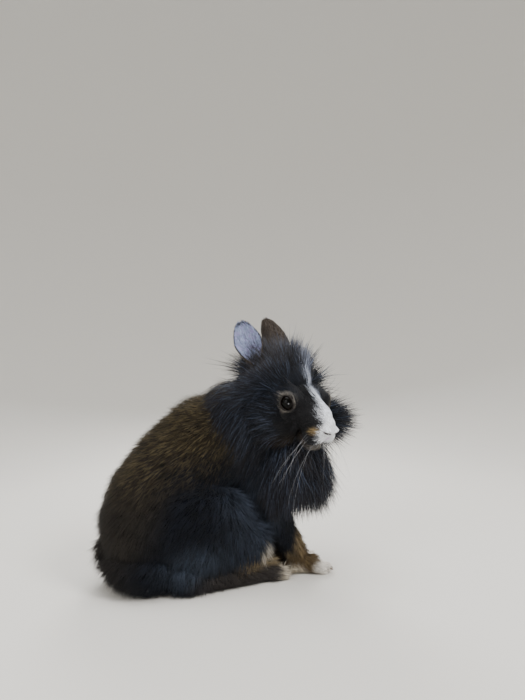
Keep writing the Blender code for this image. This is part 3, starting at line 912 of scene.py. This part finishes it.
def readTriangles(mesh):
    mesh.calc_loop_triangles()
    vertices = readValues(mesh.loop_triangles, "vertices", 3, np.int32)
    loops = readValues(mesh.loop_triangles, "loops", 3, np.int32)
    normals = readValues(mesh.vertices, "normal", 3).astype(float)
    spots = readValues(mesh.uv_layers["OFBake"].data, "uv", 2).astype(float)
    place = corners["place"][vertices]
    sides = np.cross(place[:, 1] - place[:, 0], place[:, 2] - place[:, 0])
    return {
        "corners": place,
        "normals": normals[vertices],
        "uv": spots[loops],
        "area": np.linalg.norm(sides, axis=1) / 2,
        "middle": place.mean(1),
        "isEar": corners["isEar"][vertices].any(1),
        **{name: corners[name][vertices].mean(1) for name in ("onHead", "inside", "rim")},
    }


triangles = readTriangles(skin.data)


def inEllipsoid(place, centre, sizes, soft=0.2):
    reach = np.linalg.norm((place - np.array(centre)) / np.array(sizes), axis=1)
    return np.clip((1 + soft - reach) / (2 * soft), 0, 1)


# hair that stands out from the far cheek, by a place on the head
cheekTuft = {"centre": (50, 25, -10), "sizes": (13, 9, 9), "way": (0.32, 0.95, 0.06), "length": 48}


def woolShare(place):
    # 0 on the face, 1 where the wool is full, by a place on the head
    line = 48 - 0.3 * np.maximum(place[:, 2], 0) + 14 * np.clip((-place[:, 2] - 2) / 14, 0, 1)
    share = np.clip((line - place[:, 0]) / 20 + 0.5, 0, 1)
    return share * share * (3 - 2 * share)


maneForms = [
    ((29, -20, 144), (31, 38, 38)), ((54, -36, 108), (24, 27, 37)), ((31, -24, 153), (36, 36, 36)),
]
footForms = [
    ((4, 40, 2), (46, 18, 18)), ((4, -40, 2), (46, 18, 18)),
    ((70, -40, 2), (22, 18, 19)), ((72, -3, 2), (22, 18, 19)),
]


def zoneWeights():
    middle = triangles["middle"]
    onHead = toHead(middle)
    ear = triangles["isEar"].astype(float)
    headShare = np.where(triangles["isEar"], 0.0, triangles["onHead"])
    wool = np.clip((woolShare(onHead) - 0.15) / 0.3, 0, 1)
    mane = np.maximum.reduce([inEllipsoid(middle, *form) for form in maneForms])
    feet = np.maximum.reduce([inEllipsoid(middle, *form) for form in footForms])
    thicker = 1 + 1.6 * inEllipsoid(onHead, cheekTuft["centre"], cheekTuft["sizes"], 0.4)
    ofHead = headShare * (1 - ear) * thicker
    ofBody = (1 - headShare) * (1 - ear) * (middle[:, 2] > 0.6)  # nothing under the feet
    return {
        "face": ofHead * (1 - wool),
        "headWool": ofHead * wool,
        "mane": ofBody * mane,
        "feet": ofBody * (1 - mane) * feet,
        "trunk": ofBody * (1 - mane) * (1 - feet),
        "ears": ear * (triangles["inside"] < 0.6),
        "earInside": ear * (triangles["inside"] > 0.6) * (triangles["rim"] > 0.2),
    }


zones = zoneWeights()
for zone, weight in zones.items():
    print(zone, "grows on", round(float((weight * triangles["area"]).sum() / 100)), "cm2")


def spreadRoots(weight, count, chance):
    odds = weight * triangles["area"]
    chosen = chance.choice(len(odds), size=max(int(count * density), 10), p=odds / odds.sum())
    a, b = chance.random((2, len(chosen)))
    flip = a + b > 1
    a, b = np.where(flip, 1 - a, a), np.where(flip, 1 - b, b)
    mix = np.stack([1 - a - b, a, b], axis=1)[:, :, None]
    place = (triangles["corners"][chosen] * mix).sum(1)
    return {
        "place": place,
        "normal": unit((triangles["normals"][chosen] * mix).sum(1)),
        "uv": (triangles["uv"][chosen] * mix).sum(1),
        "rootPlace": place.copy(),
        "headPlace": toHead(place),
        "zone": np.stack([triangles[name][chosen] for name in ("onHead", "inside", "rim")], axis=1),
        "chance": chance.random(len(chosen)),
        "phase": chance.random(len(chosen)),
    }


# Lie of the coat


def bothSides(rows):
    # the rows as they are for the right side, and once more for the left
    turned = [(mirrored(place, -1), mirrored(way, -1), *rest) for place, way, *rest in rows]
    return rows + turned


# rows: place, direction, length, degrees it stands off the skin
bodyLie = bothSides([
    ((-40, -45, 95), (-0.8, 0, -0.6), 17, 38),
    ((-35, -56, 55), (-0.65, 0, -0.75), 16, 38),
    ((8, -50, 40), (-0.25, 0, -1), 14, 34),
    ((-80, -45, 30), (-0.6, 0, -0.6), 18, 46),
    ((-10, -48, 26), (-0.1, -0.25, -0.9), 19, 44),
    ((-90, -40, 42), (-0.3, -0.4, -0.85), 24, 48),
    ((-84, -38, 8), (-0.2, -0.8, -0.5), 18, 50),
    ((-60, -46, 12), (-0.2, -0.8, -0.6), 17, 48),
]) + [
    ((0, -5, 165), (-0.9, 0, -0.3), 19, 44),
    ((-22, -3, 155), (-0.9, 0, -0.45), 18, 42),
    ((-58, 3, 120), (-0.7, 0, -0.7), 17, 40),
    ((-100, 0, 80), (-0.35, 0, -0.95), 18, 44),
    ((-110, 0, 36), (-0.3, 0, -0.8), 20, 50),
    ((5, -45, 110), (-0.75, -0.1, -0.6), 17, 36),
    ((5, 35, 110), (-0.75, 0.1, -0.6), 17, 36),
    ((14, -44, 62), (0.1, -0.3, -0.9), 25, 40),
    ((14, 30, 62), (0.1, 0.3, -0.9), 25, 40),
    ((48, -34, 45), (0.05, 0, -1), 9, 26),
    ((48, 4, 45), (0.05, 0, -1), 9, 26),
    ((54, -32, 22), (0.1, 0, -1), 10, 30),
    ((55, 0, 22), (0.1, 0, -1), 10, 30),
    ((50, -15, 75), (0.1, 0, -1), 15, 32),
    ((-108, -20, 52), (-0.3, -0.2, -0.9), 20, 42),
    ((-108, 24, 52), (-0.3, 0.2, -0.9), 20, 42),
    ((-116, 6, 32), (-0.1, 0, -0.9), 9, 18),
    ((-112, 8, 48), (-0.2, 0, -0.95), 12, 26),
    ((-108, 0, 10), (-0.2, 0, -0.6), 9, 24),
]
footLie = bothSides([
    ((-40, -42, 14), (-0.1, -0.6, -0.7), 16, 46),
    ((-22, -46, 10), (0.2, -0.6, -0.6), 15, 46),
    ((-4, -42, 12), (0.6, -0.3, -0.5), 14, 42),
    ((18, -42, 11), (0.8, -0.4, -0.3), 12, 38),
    ((20, -38, 19), (0.8, -0.1, 0.3), 14, 42),
    ((36, -39, 7), (1, -0.05, -0.2), 6, 18),
]) + [
    ((58, -34, 14), (0.5, -0.2, -0.8), 9, 28),
    ((58, 0, 14), (0.5, -0.05, -0.8), 9, 28),
    ((74, -42, 8), (0.85, -0.48, -0.3), 4, 14),
    ((76, -4, 8), (0.97, -0.15, -0.3), 4, 14),
]
faceLie = [
    # on the head's axes, mirrored for its other side
    ((95, 0, 4), (-0.5, 0.05, 0.85), 1.5, 12),
    ((88, 5, 8), (-0.9, 0.25, 0.5), 2.0, 12),
    ((75, 4, 14), (-0.95, 0.2, 0.3), 4.0, 18),
    ((90, 8, -3), (-0.6, 0.6, -0.4), 2.2, 14),
    ((82, 13, -4), (-0.85, 0.4, -0.3), 4.0, 20),
    ((93, 1, -10), (-0.3, 0.2, -0.9), 2.2, 14),
    ((82, 4, -19), (-0.6, 0.1, -0.8), 10, 34),
    ((72, 17, -6), (-0.9, 0.2, -0.45), 7, 24),
    ((60, 23, -6), (-0.8, 0.2, -0.6), 10, 28),
    ((50, 25, 9), (-1, 0.25, 0), 9, 26),
    ((60, 22, 20), (-0.5, 0.2, 0.85), 5, 22),
    ((60, 24, 0), (-0.6, 0.2, -0.75), 4.5, 22),
    ((67, 17, 16), (-0.65, 0.2, 0.7), 4.5, 18),
    ((68, 19, 4), (-0.8, 0.25, -0.5), 4.5, 18),
    ((62, 2, 20), (-0.9, 0.1, 0.4), 10, 32),
    ((50, 2, 25), (-0.9, 0.1, 0.45), 18, 42),
    ((38, 4, 28), (-0.85, 0.1, 0.5), 22, 46),
    ((46, 24, -16), (-0.85, 0.1, -0.5), 20, 34),
    ((62, 8, -24), (-0.7, 0.1, -0.7), 18, 36),
]


def combed(place, table, power=3.0):
    spots = np.array([row[0] for row in table], float)
    values = np.array([[*row[1], row[2], row[3]] for row in table], float)
    share = (np.linalg.norm(place[:, None] - spots[None], axis=2) + 2.0) ** -power
    share /= share.sum(1, keepdims=True)
    blended = share @ values
    return blended[:, :3], blended[:, 3], blended[:, 4]


def laid(roots, flow, lift, bow, chance, stray):
    # a tuft leaves the skin at its lift and bends back towards it
    normal = roots["normal"]
    flow = flow + chance.normal(0, stray, flow.shape)
    tangent = unit(flow - normal * (flow * normal).sum(1, keepdims=True))
    angle = np.radians(lift * chance.uniform(0.6, 1.4, len(lift)))[:, None]
    roots["first"] = tangent * np.cos(angle) + normal * np.sin(angle)
    roots["last"] = unit(tangent - normal * np.reshape(bow, (-1, 1)))
    roots["face"] = normal


woolRows = {
    # place along the axis, first and last angle (0 up, positive the animal's left),
    # length, lean back, fall
    "head": [
        (48, 78, 112, 44, -0.35, 0.1),
        (42, 32, 72, 7, 0.7, 0.1),
        (30, 30, 72, 11, 0.8, 0.1),
        (37, -56, 22, 22, 0.6, 0.0),
        (28, -64, 22, 28, 0.5, 0.0),
        (18, -60, 60, 30, 0.6, 0.1),
        (42, 72, 284, 25, 0.8, 0.45),
        (33, 62, 118, 34, 0.2, 0.2),
        (33, -118, -66, 34, 0.35, 0.35),
        (31, 124, 236, 32, 0.7, 0.7),
        (20, 84, 276, 36, 0.8, 0.8),
    ],
    "neck": [
        (38, -150, 150, 36, 1.0, 0.7),
        (24, -150, 150, 33, 1.0, 0.95),
        (10, -120, 120, 22, 1.0, 0.9),
    ],
}
bibRows = [
    # height, first and last angle from straight ahead, length
    (126, -125, 85, 44),
    (112, -135, 95, 46),
    (98, -130, 85, 42),
    (86, -100, 75, 36),
]
neckLine = ((5, -8, 130), (35, -22, 158))


def nearRows(station, angle, rows, reach):
    # how much each row counts at a root: by its place along the axis and its stretch of angles
    shares = []
    for row in rows:
        aside = np.min(
            [np.maximum.reduce([row[1] - a, a - row[2], np.zeros(len(a))])
             for a in (angle, angle + 360, angle - 360)],
            axis=0,
        )
        shares.append(1 / (((station - row[0]) / reach) ** 2 + (aside / 22) ** 2 + 0.06) ** 2)
    shares = np.array(shares).T
    return shares / shares.sum(1, keepdims=True)


down = np.array([[0, 0, -1.0]])


def ringWool(roots, rows, axes, origin, chance, added):
    # wool that stands out round an axis, as the solids' locks do
    local = (roots["place"] - origin) @ axes
    angle = np.degrees(np.arctan2(local[:, 1], local[:, 2]))
    share = nearRows(local[:, 0], angle, rows, 8.0)
    length, lean, fall = (share @ np.array([row[3:] for row in rows], float)).T[:, :, None]
    around = local * (0, 1, 1)
    outward = unit(unit(around) @ axes.T * 0.6 + roots["normal"] * 0.6)
    back = -axes[:, 0][None]
    stray = chance.normal(0, 0.16, outward.shape)
    roots["first"] = unit(outward * (1 - lean * 0.4) + back * lean + stray)
    roots["last"] = unit(outward * (0.9 - fall) + back * lean * 0.8 + down * fall + stray * 1.6)
    roots["face"] = outward
    stretch = np.where(chance.random(len(angle)) < 0.07, 1.35, 1.0)  # a few hairs reach further
    roots["length"] = (length[:, 0] + added) * chance.uniform(0.55, 1.08, len(angle)) * stretch


def bibWool(roots, chance, added):
    away = (roots["place"] - np.array(bib["axis"])) * (1, 1, 0)
    outward = unit(unit(away) * 0.7 + roots["normal"] * 0.5)
    angle = np.degrees(np.arctan2(away[:, 1], away[:, 0]))
    share = nearRows(roots["place"][:, 2], angle, bibRows, 9.0)
    length = share @ np.array([row[3] for row in bibRows], float)
    stray = chance.normal(0, 0.14, outward.shape)
    return {
        "first": unit(outward * 0.75 + down * 0.7 + stray),
        "last": unit(outward * 0.12 + down + stray * 1.5),
        "face": outward,
        "length": (length + added) * chance.uniform(0.55, 1.05, len(length)),
    }


def blendIn(roots, others, share):
    # turns the tufts by their share towards other directions and lengths
    for name, values in others.items():
        if name == "length":
            roots[name] = roots[name] * (1 - share) + values * share
        else:
            roots[name] = unit(roots[name] * (1 - share[:, None]) + values * share[:, None])


def gather(roots, apart, share, chance):
    # tips of neighbours draw together into locks
    place = roots["place"]
    tips = roots["length"][:, None] * (roots["first"] + roots["last"]) / 2
    count = len(place)
    order = chance.permutation(count)
    grid = {}
    for index in order:
        cell = tuple(np.floor(place[index] / apart).astype(int))
        grid.setdefault(cell, index)
    centres = np.array(sorted(grid.values()))
    tree = KDTree(len(centres))
    for number, index in enumerate(centres):
        tree.insert(place[index], number)
    tree.balance()
    nearest = np.array([tree.find(spot)[1] for spot in place])
    chosen = centres[nearest]
    away = (place[chosen] + tips[chosen]) - (place + tips)
    far = np.linalg.norm(away, axis=1, keepdims=True)
    limit = roots["length"][:, None] * 0.45
    roots["pull"] = away * share * np.minimum(1, limit / np.maximum(far * share, 1e-6))
    roots["clump"] = chance.random(len(centres))[nearest]


bare = [
    # places on the head without fur, on both sides: nostril, parting of the lip
    ((93.2, 4.4, 2.0), (4.2, 3.4, 1.5)),
    ((95.5, 0, -4.5), (3.2, 1.8, 5.0)),
]


def clearOfEyes(roots, clearance):
    # leaves out tufts that would cross the opening between the lids
    keep = np.ones(len(roots["place"]), dtype=bool)
    for centre, sizes in bare:
        for side in (1, -1):
            keep &= inEllipsoid(roots["headPlace"], mirrored(centre, side), sizes, 0.05) < 0.5
    length = roots["length"][:, None]
    for side in (1, -1):
        axis = np.array(eyeFacing(side)[0])
        front = np.array(mirrored(eye["place"], side)) + axis * eye["radius"]
        centre = skullBack + headTurn @ front
        for t in (0.0, 0.35, 0.7, 1.0):
            bend = roots["first"] * (t - t * t / 2) + roots["last"] * t * t / 2
            away = roots["place"] + length * bend + roots["pull"] * t ** 1.6 - centre
            depth = (away * (headTurn @ axis)).sum(1)
            flat = np.sqrt(np.maximum((away ** 2).sum(1) - depth ** 2, 0))
            keep &= ~((flat < clearance) & (depth > -4))
    return {name: values[keep] for name, values in roots.items()}


earClear = [
    # the wool is shorter before each ear: place on the head, half sizes, how much shorter
    ((14, -22, 20), (19, 17, 18), 0.74),
    ((14, 10, 27), (13, 12, 14), 0.6),
]
bib = {"axis": (54, -36, 0), "centre": (58, -38, 104), "sizes": (26, 30, 40)}
shortRing, woolRings = [(0.36, 1.0)], [(0.25, 1.0), (0.62, 0.8)]
coats = {
    # number of tufts, width, thickness, rings along a tuft, distance between clumps,
    # how far they close, finish, seed
    "trunk": (75000, 0.3, 0.2, shortRing, 3.5, 0.3, "body_coat", 3),
    "feet": (12000, 0.28, 0.18, shortRing, 2.5, 0.25, "face_fur", 4),
    "face": (26000, 0.24, 0.16, shortRing, 2.2, 0.2, "face_fur", 5),
    "headWool": (27000, 0.25, 0.17, woolRings, 5.0, 0.3, "mane_wool", 6),
    "mane": (34000, 0.26, 0.17, woolRings, 6.0, 0.32, "mane_wool", 7),
    "ears": (7000, 0.24, 0.16, shortRing, 2.5, 0.25, "ear_fur", 8),
    "earInside": (1500, 0.16, 0.1, shortRing, 2.5, 0.25, "ear_fur", 9),
}
rooting = {
    "depth": 1.2,  # how deep a tuft starts in the skin
    "woolAdded": 9.0,  # the part of the wool's length that lies in the coat
    "eyeClear": 6.3,
    "trianglesMost": 185000,
}


def hangFlat(roots, table, bow, stray, chance):
    flow, length, lift = combed(roots["place"], table)
    laid(roots, flow, lift, chance.uniform(*bow, len(lift)), chance, stray)
    roots["length"] = length * chance.uniform(0.7, 1.15, len(length))


def hangHead(roots, chance):
    spot = roots["headPlace"].copy()
    side = np.where(spot[:, 1] < 0, -1, 1)
    spot[:, 1] = np.abs(spot[:, 1])
    flow, length, lift = combed(spot, faceLie, 3.5)
    flow[:, 1] *= side
    laid(roots, flow @ headTurn.T, lift, 0.15, chance, 0.1)
    onFace = {name: roots[name] for name in ("first", "last", "face")}
    onFace["length"] = length * chance.uniform(0.75, 1.2, len(length))
    ringWool(roots, woolRows["head"], headTurn, skullBack, chance, rooting["woolAdded"])
    blendIn(roots, onFace, 1 - woolShare(roots["headPlace"]))
    way = headTurn @ np.array(cheekTuft["way"])
    stray = chance.normal(0, 0.22, (len(length), 3))
    far = cheekTuft["length"] * chance.uniform(0.55, 1.05, len(length))
    tuft = {"first": way + stray, "last": way * 0.9 + stray * 1.4, "length": far}
    share = inEllipsoid(roots["headPlace"], cheekTuft["centre"], cheekTuft["sizes"], 0.45)
    blendIn(roots, tuft, share)
    for centre, sizes, shorter in earClear:
        roots["length"] *= 1 - shorter * inEllipsoid(roots["headPlace"], centre, sizes, 0.4)


def hangMane(roots, chance):
    start, end = (np.array(point, float) for point in neckLine)
    along = unit(end - start)
    side = unit(np.cross((0, 0, 1.0), along))
    axes = np.stack([along, side, np.cross(along, side)], axis=1)
    ringWool(roots, woolRows["neck"], axes, start, chance, rooting["woolAdded"])
    bibbed = bibWool(roots, chance, rooting["woolAdded"])
    blendIn(roots, bibbed, inEllipsoid(roots["place"], bib["centre"], bib["sizes"], 0.3))
    # the trunk's colours reach further forward low down
    border = 9 + 0.5 * (129 - np.clip(roots["place"][:, 2], 85, 175))
    past = roots["place"][:, 0] - border + chance.normal(0, 4, len(border))
    roots["zone"][:, 0] = np.clip(past / 8 + 0.5, 0, 1)


def hangEar(roots, lift, stray, chance):
    across = (roots["place"] - skullBack) @ headTurn[:, 1]
    left, right = np.array(earAlong["left"]), np.array(earAlong["right"])
    tipward = np.where((across > 0)[:, None], left, right)
    laid(roots, tipward, np.full(len(across), lift), 0.05, chance, stray)
    low = np.clip(1 - roots["zone"][:, 2], 0, 1)
    roots["length"] = (3.6 + 6 * low) * chance.uniform(0.7, 1.2, len(low))


hanging = {
    "trunk": lambda roots, chance: hangFlat(roots, bodyLie, (-1.0, 0.0), 0.22, chance),
    "feet": lambda roots, chance: hangFlat(roots, footLie, (-0.3, 0.15), 0.16, chance),
    "face": hangHead,
    "headWool": hangHead,
    "mane": hangMane,
    "ears": lambda roots, chance: hangEar(roots, 16.0, 0.08, chance),
    "earInside": lambda roots, chance: hangEar(roots, 8.0, 0.22, chance),
}


def growCoat(zone):
    number, width, thick, rings, apart, close, finish, seed = coats[zone]
    chance = np.random.default_rng(seed)
    roots = spreadRoots(zones[zone], number, chance)
    hanging[zone](roots, chance)
    gather(roots, apart, close, chance)
    if zone in ("face", "headWool"):
        roots = clearOfEyes(roots, rooting["eyeClear"])
    count = len(roots["place"])
    wide = chance.uniform(0.75, 1.25, count)
    roots["width"], roots["thick"] = width * wide, thick * wide
    roots["place"] = roots["place"] - roots["first"] * rooting["depth"]
    roots["length"] = roots["length"] + rooting["depth"]
    each = 6 * len(rings)
    pieces = max(1, math.ceil(count * each / rooting["trianglesMost"]))
    for start in range(pieces):
        part = {name: values[start::pieces] for name, values in roots.items()}
        name = zone + "_coat_" + str(start + 1)
        mesh = spindleMesh(name, part, rings, 3, {"turns": 1.3, "reach": width * 1.5})
        piece = linked(name, mesh, finishes[finish])
    print(zone, "coat:", count, "tufts,", count * each, "triangles")


for zone in coats:
    growCoat(zone)


# Eyes

def eyeFinish():
    made, tree, sockets = newFinish("wet_eye", Roughness=0.05, Specular_IOR_Level=0.1)
    away = addNode(tree, "Attribute", {}, attribute_name="fromAxis").outputs["Fac"]
    brown = mottled(tree, 900.0, 3.0, tone("060403"), tone("0e0906"))
    colour = mixed(tree, ranged(tree, away, 0.42, 0.52), tone("020202"), brown)
    give(tree, sockets["Base Color"], colour)
    return made


def addEye(side, name, finish):
    axis = eyeFacing(side)[0]
    made = eyeBall(side, eye["radius"], name + "_globe")
    modify(made, "SUBSURF", levels=1, render_levels=1)
    settle(made)
    centre = headAxes @ (Vector(mirrored(eye["place"], side)) * mm)
    facing = (headAxes.to_3x3() @ axis).normalized()
    away = []
    for corner in made.data.vertices:
        ray = (corner.co - centre).normalized()
        angle = ray.angle(facing)
        rise = eye["cornea"] * max(0.0, 1 - (angle / eye["corneaAngle"]) ** 2) * mm
        corner.co = corner.co + ray * rise
        away.append(angle)
    setPointValues(made.data, "fromAxis", "FLOAT", np.array(away))
    made.data.shade_smooth()
    made.data.materials.append(finish)
    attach(made, rootBody)
    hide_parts(name)


lidEdge = {"out": 0.55, "in": 0.25, "radius": 0.5, "steps": 72, "around": 8}


def addLidEdge(side, name, finish):
    # the dark wet edge that runs round between the lids
    turn = eyeFacing(side)[1]
    centre = Vector(mirrored(eye["place"], side))
    radius = eye["radius"] + lidEdge["out"]
    wide, high = eye["opening"][0] - lidEdge["in"], eye["opening"][2] - lidEdge["in"]
    steps, around = lidEdge["steps"], lidEdge["around"]
    shape = bmesh.new()
    rings = []
    for step in range(steps):
        phase = 2 * math.pi * step / steps
        spots = []
        for shift in (0.0, 0.01):
            x, z = wide * math.cos(phase + shift), high * math.sin(phase + shift)
            spots.append(Vector((x, math.sqrt(max(radius ** 2 - x * x - z * z, 1)), z)))
        ahead = (spots[1] - spots[0]).normalized()
        out = spots[0].normalized()
        aside = ahead.cross(out).normalized()
        ring = []
        for k in range(around):
            angle = 2 * math.pi * k / around
            offset = (out * math.cos(angle) + aside * math.sin(angle)) * lidEdge["radius"]
            ring.append(shape.verts.new(headAxes @ ((centre + turn @ (spots[0] + offset)) * mm)))
        rings.append(ring)
    for here, there in zip(rings, rings[1:] + rings[:1]):
        for k in range(around):
            shape.faces.new((here[k], here[(k + 1) % around], there[(k + 1) % around], there[k]))
    bmesh.ops.recalc_face_normals(shape, faces=shape.faces[:])
    made = asObject(name + "_lid_edge", shape)
    made.data.shade_smooth()
    made.data.materials.append(finish)
    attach(made, rootBody)


wetEye = eyeFinish()
edgeFinish = mottledFinish(
    "lid_edge", 600.0, 3.0, tone("0d0b0a"), tone("201917"), Roughness=0.35, Specular_IOR_Level=0.15
)
for side, name in ((-1, "eye_right"), (1, "eye_left")):
    addEye(side, name, wetEye)
    addLidEdge(side, name, edgeFinish)
print("eyes made")


# Claws and whiskers

claws = {"ahead": 1.6, "up": 0.4, "length": 5.2, "width": 0.95, "thick": 1.1}
whiskers = {
    "each": 15,  # on a side
    "inRow": 5,
    "length": (40, 66),
    "width": 0.052,
    "browEach": 3,
    "browLength": 20,
    "browWidth": 0.11,
}


def addClaws():
    paths = []
    for low, high, ahead in toePaths():
        ahead = np.array(ahead)
        place = np.array(high) + ahead * claws["ahead"] + np.array((0, 0, claws["up"]))
        first, last = (ahead + np.array((0, 0, dip)) for dip in (-0.1, -1.1))
        sizes = claws["length"], claws["width"], claws["thick"]
        paths.append(spindlePath(place, first, last, *sizes, np.array((0, 0, 1.0))))
    rings = [(0.08, 0.9), (0.3, 1.0), (0.6, 0.75), (0.85, 0.4)]
    horn = mottledFinish(
        "claw_horn", 500.0, 4.0, tone("3a2f2a"), tone("8c7b6a"),
        Roughness=0.35, Specular_IOR_Level=0.5,
    )
    piece = linked("claws", spindleMesh("claws", stacked(paths), rings, 8), horn)


def whiskerFinish():
    made, tree, sockets = newFinish("whisker_hair", Roughness=0.4, Specular_IOR_Level=0.5)
    along, chance, clump = partsOf(tree, "tuft")
    colour = mixed(tree, ranged(tree, chance, 0.35, 0.45), tone("2a2a30"), tone("a3a3a8"))
    give(tree, sockets["Base Color"], colour)
    return made


def addWhiskers():
    chance = np.random.default_rng(17)
    paths = []
    for side in (1, -1):
        for index in range(whiskers["each"]):
            row, column = divmod(index, whiskers["inRow"])
            start = (88 - column * 2.4, 8.5 + column * 1.2 - row * 1.2, -4.5 - row * 3.0)
            spread = chance.normal(0, 0.14, 3)
            first = np.array((0.25, 0.75 - row * 0.15, -0.6 - row * 0.2)) + spread
            last = np.array((0.56 - column * 0.08, 0.12, -0.9)) + spread * 1.3
            length = chance.uniform(*whiskers["length"])
            sizes = length, whiskers["width"], whiskers["width"]
            paths.append(headPath(start, first, last, *sizes, (0.3, 0, 1), side, chance.random()))
        for index in range(whiskers["browEach"]):
            start = (60 - index * 3, 17.5, 20)
            first = (0.3 - index * 0.3, 0.7, 0.9)
            last = (-0.5 - index * 0.2, 0.9, 0.3)
            sizes = whiskers["browLength"], whiskers["browWidth"], whiskers["browWidth"]
            paths.append(headPath(start, first, last, *sizes, (1, 0, 0), side, 0.2))
    rings = [(0.05, 1.0), (0.2, 0.95), (0.4, 0.85), (0.6, 0.7), (0.8, 0.5)]
    piece = linked("whiskers", spindleMesh("whiskers", stacked(paths), rings, 5), whiskerFinish())


addClaws()
addWhiskers()
print("claws and whiskers made")


# Floor, light and camera

studio = {
    "floor": "d9d6d0",
    "radius": 0.8,
    "bend": 1.4,
    "wall": 2.4,
    "sky": ("eef1f5", 1.3),
    "lights": {
        # place round the animal, size, watts
        "key": ((0.55, -0.95, 0.95), 0.45, 15.0),
        "fill": ((-0.95, -0.55, 0.6), 0.9, 7.0),
        "top": ((-0.05, 0.05, 1.25), 0.9, 9.0),
        "rim": ((0.25, 0.9, 0.75), 0.5, 9.0),
    },
    "spark": ((-0.13, -0.45, 0.06), 0.09, 2.4),  # seen only as the light in the eye
}

def addFloor():
    # a round floor that bends up into a wall far behind
    radius, bend = studio["radius"], studio["bend"]
    profile = [(0.0, 0.0), (radius, 0.0)]
    for step in range(1, 13):
        angle = math.radians(90 * step / 12)
        profile.append((radius + bend * math.sin(angle), bend * (1 - math.cos(angle))))
    profile.append((radius + bend, bend + studio["wall"]))
    shape = bmesh.new()
    line = [shape.verts.new((x, 0, z)) for x, z in profile]
    edges = [shape.edges.new(pair) for pair in zip(line, line[1:])]
    bmesh.ops.spin(
        shape, geom=line + edges, cent=(0, 0, 0), axis=(0, 0, 1), angle=2 * math.pi, steps=96,
        use_merge=True, use_duplicate=False,
    )
    bmesh.ops.remove_doubles(shape, verts=shape.verts[:], dist=0.0001)
    bmesh.ops.recalc_face_normals(shape, faces=shape.faces[:])
    made = asObject("studio_floor", shape)
    made.data.shade_smooth()
    pale = tone(studio["floor"])
    duller = (*[part * 0.97 for part in pale[:3]], 1.0)
    finish = mottledFinish(
        "pale_floor", 1.5, 2.0, pale, duller, Roughness=0.85, Specular_IOR_Level=0.0
    )
    made.data.materials.append(finish)


def addLights():
    world = bpy.data.worlds.new("soft_sky")
    bpy.context.scene.world = world
    world.use_nodes = True
    colour, strength = studio["sky"]
    sky = world.node_tree.nodes["Background"]
    sky.inputs["Color"].default_value = tone(colour)
    sky.inputs["Strength"].default_value = strength
    target = Vector((0.0, 0.0, 0.1))
    for name, (place, size, power) in {**studio["lights"], "spark": studio["spark"]}.items():
        lamp = bpy.data.lights.new(name, "AREA")
        lamp.shape = "DISK"
        lamp.size = size
        lamp.energy = power
        made = placed(name, lamp)
        made.location = place
        made.rotation_euler = (target - Vector(place)).to_track_quat("-Z", "Y").to_euler()
        made.visible_diffuse = name != "spark"


camera = {
    "place": (-126.2, -448.9, 155.0),
    "turn": -20.0,
    "roll": -2.0,
    "lens": 25.97,
    "shift": (0.0025, 0.0714),
}


def addCamera():
    made = placed("camera", bpy.data.cameras.new("camera"))
    made.data.sensor_width = 36.0
    made.data.lens = camera["lens"]
    made.data.shift_x, made.data.shift_y = camera["shift"]
    made.data.clip_start = 0.01
    turn = (
        Matrix.Rotation(math.radians(camera["turn"]), 4, "Z")
        @ Matrix.Rotation(math.radians(90), 4, "X")
        @ Matrix.Rotation(math.radians(camera["roll"]), 4, "Z")
    )
    made.matrix_world = Matrix.Translation(bodyAxes @ (Vector(camera["place"]) * mm)) @ turn
    bpy.context.scene.camera = made


addFloor()
addLights()
addCamera()
print("studio made")
